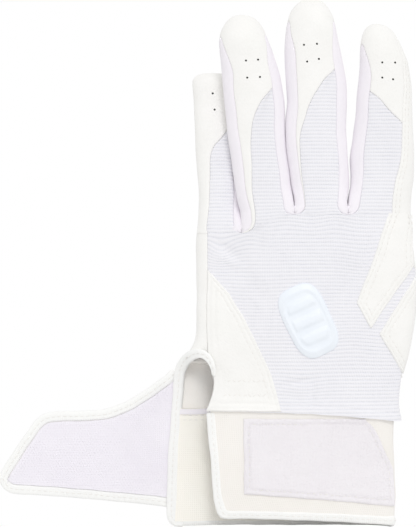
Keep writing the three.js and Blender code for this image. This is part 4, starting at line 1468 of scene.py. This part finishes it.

# %% [markdown]
# ## Tape of the slit
# One length of tape runs up the strap's root, over the slit's arch and down to the leather patch. Its
# points are listed along that edge and joined by a smooth curve.

# %% The slit's tape
slit_points = [
    (-41.5, 4.75, 1.4), (-44.6, 4.75, 1.7), (-46.4, 4.75, 3.4), (-46.9, 4.75, 7.5),
    (-46.8, 4.75, 16), (-46.0, 4.75, 30), (-45.0, 4.75, 44), (-44.2, 4.6, 56), (-43.9, 4.0, 61),
    (-43.1, 2.6, 65.7), (-41.0, -0.4, 69.9), (-38.1, -4.0, 72.4), (-35.0, -6.9, 73.3),
    (-32.3, -8.5, 72.1), (-30.4, -9.2, 69.6), (-29.4, -9.5, 66.8), (-29.3, -9.5, 64.2),
]
path = rounded_path(slit_points)
narrowing = through([0, 0.8, 0.9, 1], [1, 0.95, 0.7, 0.3])
obj, line, facing = swept(
    "slit_tape", path, (-0.15, -1, 0.1), 4.8, 2.9, "tape", taper=narrowing
)
dress(obj, "hand", "slit_binding")
sew(line, facing, "hand")

# %% [markdown]
# ## Strap
# The strap is drawn as an outline: a top and a bottom edge over the distance from its root. It
# lies open, so the hook side faces the viewer, inside a border of the same woven tape.

# %% The strap's outline
strap_top = through(
    [0, 3.0, 9.6, 18.2, 24.7, 31.1, 48.1, 53.2, 55.9, 58.8, 63.0, 67.2, 70.2, 72.6, 73.9],
    [65.9, 63.0, 58.3, 52.7, 49.8, 48.4, 47.9, 47.4, 46.1, 43.3, 37.1, 30.8, 26.1, 22.4, 19.4],
)
strap_low = through(
    [0, 3.0, 9.6, 31.1, 52.1, 67.2, 70.2, 72.6, 73.9],
    [7.0, 7.4, 8.4, 10.4, 12.0, 12.9, 13.9, 16.2, 19.4],
)
strap_reach = 73.9


def strap_edge(inset):
    """The outline from the root's top round the tip to the root's bottom, drawn in by inset."""
    u = strap_reach * np.sin(np.linspace(0, math.pi / 2, 120))
    top = np.stack([strap_root_x - u, strap_top(u)], -1)
    low = np.stack([strap_root_x - u, strap_low(u)], -1)[::-1]
    outline = np.concatenate([top, low[1:]])
    tangent = np.gradient(outline, axis=0)
    tangent /= np.linalg.norm(tangent, axis=1, keepdims=True)
    inward = np.stack([-tangent[:, 1], tangent[:, 0]], -1)
    return outline + inward * inset


def strap_grid(inset, columns, rows):
    edge = strap_edge(inset)
    tip = int(np.argmin(edge[:, 0]))
    top, low = edge[: tip + 1][::-1], edge[tip:]
    shape = np.sin(np.linspace(0, math.pi / 2, columns + 1)[1:])[::-1]
    x = strap_root_x + (edge[tip, 0] + 0.02 - strap_root_x) * shape
    x = np.append(x, strap_root_x + 1.5)
    high = np.interp(x, np.maximum.accumulate(top[:, 0]), top[:, 1])
    under = np.interp(x, np.maximum.accumulate(low[:, 0]), low[:, 1])
    share = np.linspace(0, 1, rows + 1)
    z = under[None] + (high - under)[None] * share[:, None]
    return np.stack([x[None] + 0 * z, 0 * z, z], -1)


def bow(x):
    """The strap's gentle curve towards the viewer and back, towards its tip."""
    u = np.clip((strap_root_x - x) / strap_length, 0, 1)
    return -0.9 * np.sin(math.pi * u) + 0.6 * u * u


def strap_layer(name, inset, front, thick, finish, columns=90, rows=60):
    grid = strap_grid(inset, columns, rows)
    grid[..., 1] = front + bow(grid[..., 0])
    cut = Cut([(row, row[:, 0] - row[0, 0]) for row in grid], outward=(0, -1, 0))
    obj = sheet_piece(name, cut.grid, cut.grid - cut.normal * thick, [finish], cut)
    return obj, cut


obj, _ = strap_layer("strap_shell_cloth", 1.4, 6.2, 1.9, "cuff_cloth")
dress(obj, "strap", "strap_shell")
obj, hook = strap_layer("hook_patch_ground", 4.2, 5.5, 0.6, "hook_ground")
dress(obj, "strap", "hook_patch")

edge = strap_edge(2.1)
path = resample(np.stack([edge[:, 0], 7.0 + bow(edge[:, 0]), edge[:, 1]], -1), 0.8)
obj, line, facing = swept("strap_tape", path, (0, -1, 0), 4.4, 3.1, "tape")
dress(obj, "strap", "strap_binding")
sew(line, facing, "strap")

# %% [markdown]
# ## Thumb
# The thumb lies folded behind the palm. Its stall is cut like the fingers', and a web of leather joins
# its root to the mouth in the hand's side.

# %% The thumb's tube
thumb_foot = np.array([hand_shift + 0.4478 * palm_width, thumb_mouth[0]])
thumb_crotch = np.array([hand_shift + 0.5122 * palm_width, thumb_mouth[1]])
thumb_angle = math.radians(52)
thumb_along = np.array([-math.sin(thumb_angle), math.cos(thumb_angle)])
thumb_across = np.array([-thumb_along[1], thumb_along[0]])
thumb_upper_end = thumb_crotch + thumb_along * 42
thumb_lower_end = thumb_upper_end + thumb_across * 26
thumb_depth = 11.0
thumb = dict(
    length=42, width=25.2, tip_round=13,
    seam=[0.14, 0.3, 0.55, 1], seam_at=[0, 0.35, 0.5, 0.6], knit="right", left="gusset",
    right="edge", base=(0, 0),
)


def thumb_edge(own, other):
    def edge(t):
        t = np.asarray(t, float)
        kept = np.sqrt(np.maximum(1 - tip_reach(thumb, t) ** 2, 0))
        mine = [mix(own[0][k], own[1][k], t) for k in (0, 1)]
        theirs = [mix(other[0][k], other[1][k], t) for k in (0, 1)]
        return np.array([mix((a + b) / 2, a, kept) for a, b in zip(mine, theirs)])

    return edge


class ThumbStall(Stall):
    """A stall without a root in the hand: its web joins it instead."""

    up = (thumb_along[0], 0, thumb_along[1])

    def __init__(self):
        upper, lower = (thumb_crotch, thumb_upper_end), (thumb_foot, thumb_lower_end)
        super().__init__(thumb, Sleeve(
            thumb_edge(upper, lower), thumb_edge(lower, upper),
            closing(thumb, level(thumb_depth)), level(section_power),
            face=-1, shift=(0, palm_depth / 2 + 0.6 + thumb_depth / 2, 0),
        ))
        # Its gusset is open from the web on.
        self.opens_at = -10.0

    def t_at(self, r, share=0.5):
        return r + 0 * np.asarray(share, float)

    def point(self, angle, r):
        return self.sleeve.point(angle, r + 0 * angle)


thumb_stall = ThumbStall()
make_stall("thumb", thumb_stall)

# %% The web of the thumb
def web_ring_points(turns):
    """The rim of the mouth in the hand and the root of the thumb's stall, turn by turn."""
    height = signed_power(np.cos(turns), 2 / section_power)
    z = sum(thumb_mouth) / 2 + (thumb_mouth[1] - thumb_mouth[0]) / 2 * height
    t = hand_share(z)
    angle = np.where(np.sin(turns) < 0, mouth_angle * mouth_open(t), 0.0)
    rim = hand.point(angle, t)
    root = thumb_stall.sleeve.point(turns - math.pi, 0.03 + 0 * turns)
    return rim, root


turns = np.linspace(0, 2 * math.pi, 97)
rim, root = web_ring_points(turns)
out = np.sin(turns)[:, None].clip(0, 1)
control = (rim + root) / 2 + out * np.array([2.6, 0.5, 0.0])
s = np.linspace(0, 1, 26)[:, None, None]
web_grid = (1 - s) ** 2 * rim + 2 * s * (1 - s) * control + s**2 * root
web = Cut([(row, run_along(rim)) for row in web_grid])
obj = cloth_piece("thumb_web_leather", web, 0 * web.across + 0.05, leather_wall, ["leather"])
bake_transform(obj)

# %% [markdown]
# ## Flat sizes
# Every panel was cut flat before it was sewn. Its width and length are read along the grid
# that it was cut as, and its area from the grid's cells.

# %% Printing the sheets' flat sizes
padded_names = ("cuff_back_cloth", "cuff_palm_cloth", "strap_shell_cloth")
for name, cut in cloth_cuts.items():
    width, length = cut.across[:, -1].max() * MM, cut.along[-1].max() * MM
    if min(width, length) < 0.01 or name in padded_names:
        continue
    area = min(cut.flat_area(), width * length)
    print("sheet", name, round(width, 4), round(length, 4), round(area * 1e4, 2), "cm2")

# %% [markdown]
# ## Thread
# Each stitch is a short plump piece of thread that sinks at both ends. One stitch is modelled
# and set on points along every seam line, turned to the seam and to the cloth's own normal.

# %% Points for the stitches
def stitch_points(lines):
    """Middles, directions and outward normals of the stitches of several lines."""
    places, along, out = [], [], []
    for points, normals, _, pitch in lines:
        run = run_along(points)
        count = max(1, int(run[-1] / pitch))
        at = (np.arange(count) + 0.5) * run[-1] / count
        reach = 0.35 * run[-1] / count
        places.append(sample(points, run, at))
        along.append(sample(points, run, at + reach) - sample(points, run, at - reach))
        out.append(sample(normals, run, at))
    return [np.concatenate(part) for part in (places, along, out)]


# %% One tree sets a small shape on every point
def setting_tree(name, make_shape):
    """A tree that stands a shape on points, its X along "run" and its Z along "out"."""
    tree = bpy.data.node_groups.new(name, "GeometryNodeTree")
    kinds = {"Points": "Geometry", "Length": "Float", "Width": "Float", "Height": "Float",
             "Finish": "Material"}
    for label, kind in kinds.items():
        tree.interface.new_socket(label, in_out="INPUT", socket_type=f"NodeSocket{kind}")
    tree.interface.new_socket("Pieces", in_out="OUTPUT", socket_type="NodeSocketGeometry")
    given = add_node(tree, "NodeGroupInput").outputs
    size = add_node(tree, "ShaderNodeCombineXYZ",
                    {0: given["Length"], 1: given["Width"], 2: given["Height"]})
    shape = add_node(tree, "GeometryNodeTransform",
                     {"Geometry": make_shape(tree), "Scale": size.outputs[0]})
    run, out = (
        add_node(tree, "GeometryNodeInputNamedAttribute", {"Name": label},
                 data_type="FLOAT_VECTOR").outputs["Attribute"]
        for label in ("run", "out")
    )
    along = add_node(tree, "FunctionNodeAlignRotationToVector", {"Vector": run}, axis="X")
    turned = add_node(tree, "FunctionNodeAlignRotationToVector",
                      {"Rotation": along.outputs[0], "Vector": out}, axis="Z", pivot_axis="X")
    placed = add_node(tree, "GeometryNodeInstanceOnPoints", {
        "Points": given["Points"], "Instance": shape.outputs[0], "Rotation": turned.outputs[0]})
    real = add_node(tree, "GeometryNodeRealizeInstances", {"Geometry": placed.outputs[0]})
    dressed = add_node(tree, "GeometryNodeSetMaterial",
                       {"Geometry": real.outputs[0], "Material": given["Finish"]})
    add_node(tree, "NodeGroupOutput", {"Pieces": dressed.outputs[0]})
    return tree


def plump_thread(tree):
    return add_node(tree, "GeometryNodeMeshUVSphere",
                    {"Segments": 6, "Rings": 5, "Radius": 1.0}).outputs["Mesh"]


def set_on_points(name, places, run, out, tree, sizes, finish):
    """Runs the tree once on points with their directions and keeps its result as a plain mesh."""
    mesh = bpy.data.meshes.new(f"{name}_points")
    mesh.from_pydata((places * MM).tolist(), [], [])
    for label, values in (("run", run), ("out", out)):
        layer = mesh.attributes.new(label, "FLOAT_VECTOR", "POINT")
        layer.data.foreach_set("vector", values.ravel().astype(np.float32))
    obj = link_new(f"{name}_points", mesh)
    layer = obj.modifiers.new("setting", "NODES")
    layer.node_group = tree
    values = {label: size * MM for label, size in zip(("Length", "Width", "Height"), sizes)}
    values["Finish"] = materials[finish]
    for item in tree.interface.items_tree:
        if item.in_out == "INPUT" and item.name in values:
            layer[item.identifier] = values[item.name]
    obj.data.update()
    shapes = bpy.context.evaluated_depsgraph_get()
    made = bpy.data.meshes.new_from_object(obj.evaluated_get(shapes))
    obj.modifiers.clear()
    bpy.data.objects.remove(obj)
    made.polygons.foreach_set("use_smooth", np.ones(len(made.polygons), bool))
    print(name, len(places))
    return link_new(name, made)


stitch_tree = setting_tree("Stitches on seam lines", plump_thread)
for body in ("hand", "index", "strap"):
    along_seams = stitch_points([line for line in stitch_lines if line[2] == body])
    obj = set_on_points(f"{body}_stitches", *along_seams, stitch_tree, (0.85, 0.2, 0.2), "thread")
    dress(obj, body)

# %% [markdown]
# ## Hooks and loops
# The strap's patch is a ground of tiny hooks, cut monofilament half a millimetre high. The cuff's is
# a pile of fine loops. Each is one small shape set on a lattice, so the fastener reads as cloth
# from afar and as hooks from near.

# %% Shapes of a hook and a loop
def bent_wire(start, middle, end, thick):
    """A maker of a curved wire for setting_tree, about 1 high before the tree scales it."""
    def make(tree):
        path = add_node(tree, "GeometryNodeCurveQuadraticBezier",
                        {"Resolution": 5, "Start": start, "Middle": middle, "End": end})
        ring = add_node(tree, "GeometryNodeCurvePrimitiveCircle",
                        {"Resolution": 4, "Radius": thick})
        wire = add_node(tree, "GeometryNodeCurveToMesh", {
            "Curve": path.outputs[0], "Profile Curve": ring.outputs[0], "Fill Caps": True})
        return wire.outputs[0]

    return make


def lattice(cut, x_step, z_step, margin, wobble):
    """Points spread evenly on a nearly flat piece, in every other row by half a step."""
    flat = cut.grid
    edge = cut.edge.reshape(-1)
    places = []
    for n, z in enumerate(np.arange(flat[..., 2].min(), flat[..., 2].max(), z_step)):
        for x in np.arange(flat[..., 0].min() + (n % 2) * x_step / 2, flat[..., 0].max(), x_step):
            places.append((x, z))
    places = np.array(places) + wave_seed.normal(size=(len(places), 2)) * wobble
    flat_xz = flat[..., [0, 2]].reshape(-1, 2)
    kept, out = [], []
    for start in range(0, len(places), 400):
        some = places[start : start + 400]
        gaps = np.sum((some[:, None] - flat_xz[None]) ** 2, axis=2)
        near = np.argmin(gaps, axis=1)
        close = np.sqrt(gaps[np.arange(len(some)), near])
        inside = (edge[near] > margin) & (close < 1.2)
        point = flat.reshape(-1, 3)[near]
        moved = np.stack([some[:, 0], point[:, 1], some[:, 1]], -1)
        kept.append(moved[inside])
        out.append(cut.normal.reshape(-1, 3)[near][inside])
    return np.concatenate(kept), np.concatenate(out)


hook_shape = bent_wire((0, 0, 0), (0, 0, 1.5), (1, 0, 0.7), 0.16)
places, out = lattice(hook, 1.3, 1.15, 0.7, 0.04)
obj = set_on_points(
    "hook_patch_hooks", places, np.tile([1.0, 0, 0.3], (len(places), 1)), out,
    setting_tree("Hooks on the strap", hook_shape), (0.42, 0.6, 0.5), "hook_ground",
)
dress(obj, "strap")

loop_shape = bent_wire((-1, 0, 0), (0, 0, 2), (1, 0, 0), 0.14)
places, out = lattice(loop, 0.98, 0.85, 0.2, 0.2)
turn = wave_seed.uniform(0, 2 * math.pi, len(places))
obj = set_on_points(
    "loop_patch_loops", places + out * 0.85, np.stack([np.cos(turn), 0 * turn, np.sin(turn)], -1),
    out, setting_tree("Loops of the pile", loop_shape), (0.5, 0.5, 0.3), "loop_pile",
)
dress(obj, "hand")

# %% [markdown]
# ## Light and camera
# The photograph is lit almost evenly, on white. A white surround gives that, and one broad lamp
# from above, in front and a little to the right adds the direction that shows ribs and seams.

# %% A white world
def white_where_seen(tree, lighting, white, output):
    """White where the camera or a reflection looks, and the lighting shader for other rays."""
    rays = add_node(tree, "ShaderNodeLightPath").outputs
    seen = rays["Is Camera Ray"]
    for kind in ("Is Glossy Ray", "Is Transmission Ray"):
        either = add_node(tree, "ShaderNodeMath", {0: seen, 1: rays[kind]}, operation="MAXIMUM")
        seen = either.outputs[0]
    both = add_node(
        tree, "ShaderNodeMixShader", {0: seen, 1: lighting.outputs[0], 2: white.outputs[0]}
    )
    add_node(tree, output, {"Surface": both.outputs[0]})


world = bpy.data.worlds.new("White studio")
bpy.context.scene.world = world
world.use_nodes = True
world.node_tree.nodes.clear()
lit, seen = (
    add_node(world.node_tree, "ShaderNodeBackground", {"Color": linear("#ffffff"), "Strength": s})
    for s in (0.82, 1.0)
)
white_where_seen(world.node_tree, lit, seen, "ShaderNodeOutputWorld")

# %% Lamp and camera
sun_data = bpy.data.lights.new("Broad lamp", "SUN")
sun_data.energy = 0.7
sun_data.angle = math.radians(18)
sun = link_new("Broad lamp", sun_data)
sun.rotation_euler = (math.radians(52), math.radians(12), 0)

pixel, photo_height, sensor_half = 0.42, 527, 18
frame_height = photo_height * pixel
camera_data = bpy.data.cameras.new("Camera")
camera_data.lens = 100
camera_data.clip_start, camera_data.clip_end = 0.05, 20
camera = link_new("Camera", camera_data)
distance = frame_height / 2 / (sensor_half / camera_data.lens)
camera.location = (-31.5 * MM, -distance * MM, frame_height / 2 * MM)
camera.rotation_euler = (math.radians(90), 0, 0)
bpy.context.scene.camera = camera
bpy.context.scene.view_settings.view_transform = "Standard"
print("camera", round(distance), "mm away")

# %% Floor
# A pale floor, white where the camera or a reflection looks at it, as the photograph's ground is.
reach, below = 900 * MM, -1.2 * MM
corners = [(x * reach, y * reach, below) for x, y in ((-1, -1), (1, -1), (1, 1), (-1, 1))]
floor_mesh = bpy.data.meshes.new("floor")
floor_mesh.from_pydata(corners, [], [(0, 1, 2, 3)])
floor = link_new("floor", floor_mesh)
paint = bpy.data.materials.new("White studio floor")
paint.use_nodes = True
tree = paint.node_tree
tree.nodes.clear()
matt = add_node(tree, "ShaderNodeBsdfDiffuse", {"Color": linear("#f4f4f3")})
bright = add_node(tree, "ShaderNodeEmission", {"Color": linear("#ffffff"), "Strength": 1.0})
white_where_seen(tree, matt, bright, "ShaderNodeOutputMaterial")
floor_mesh.materials.append(paint)
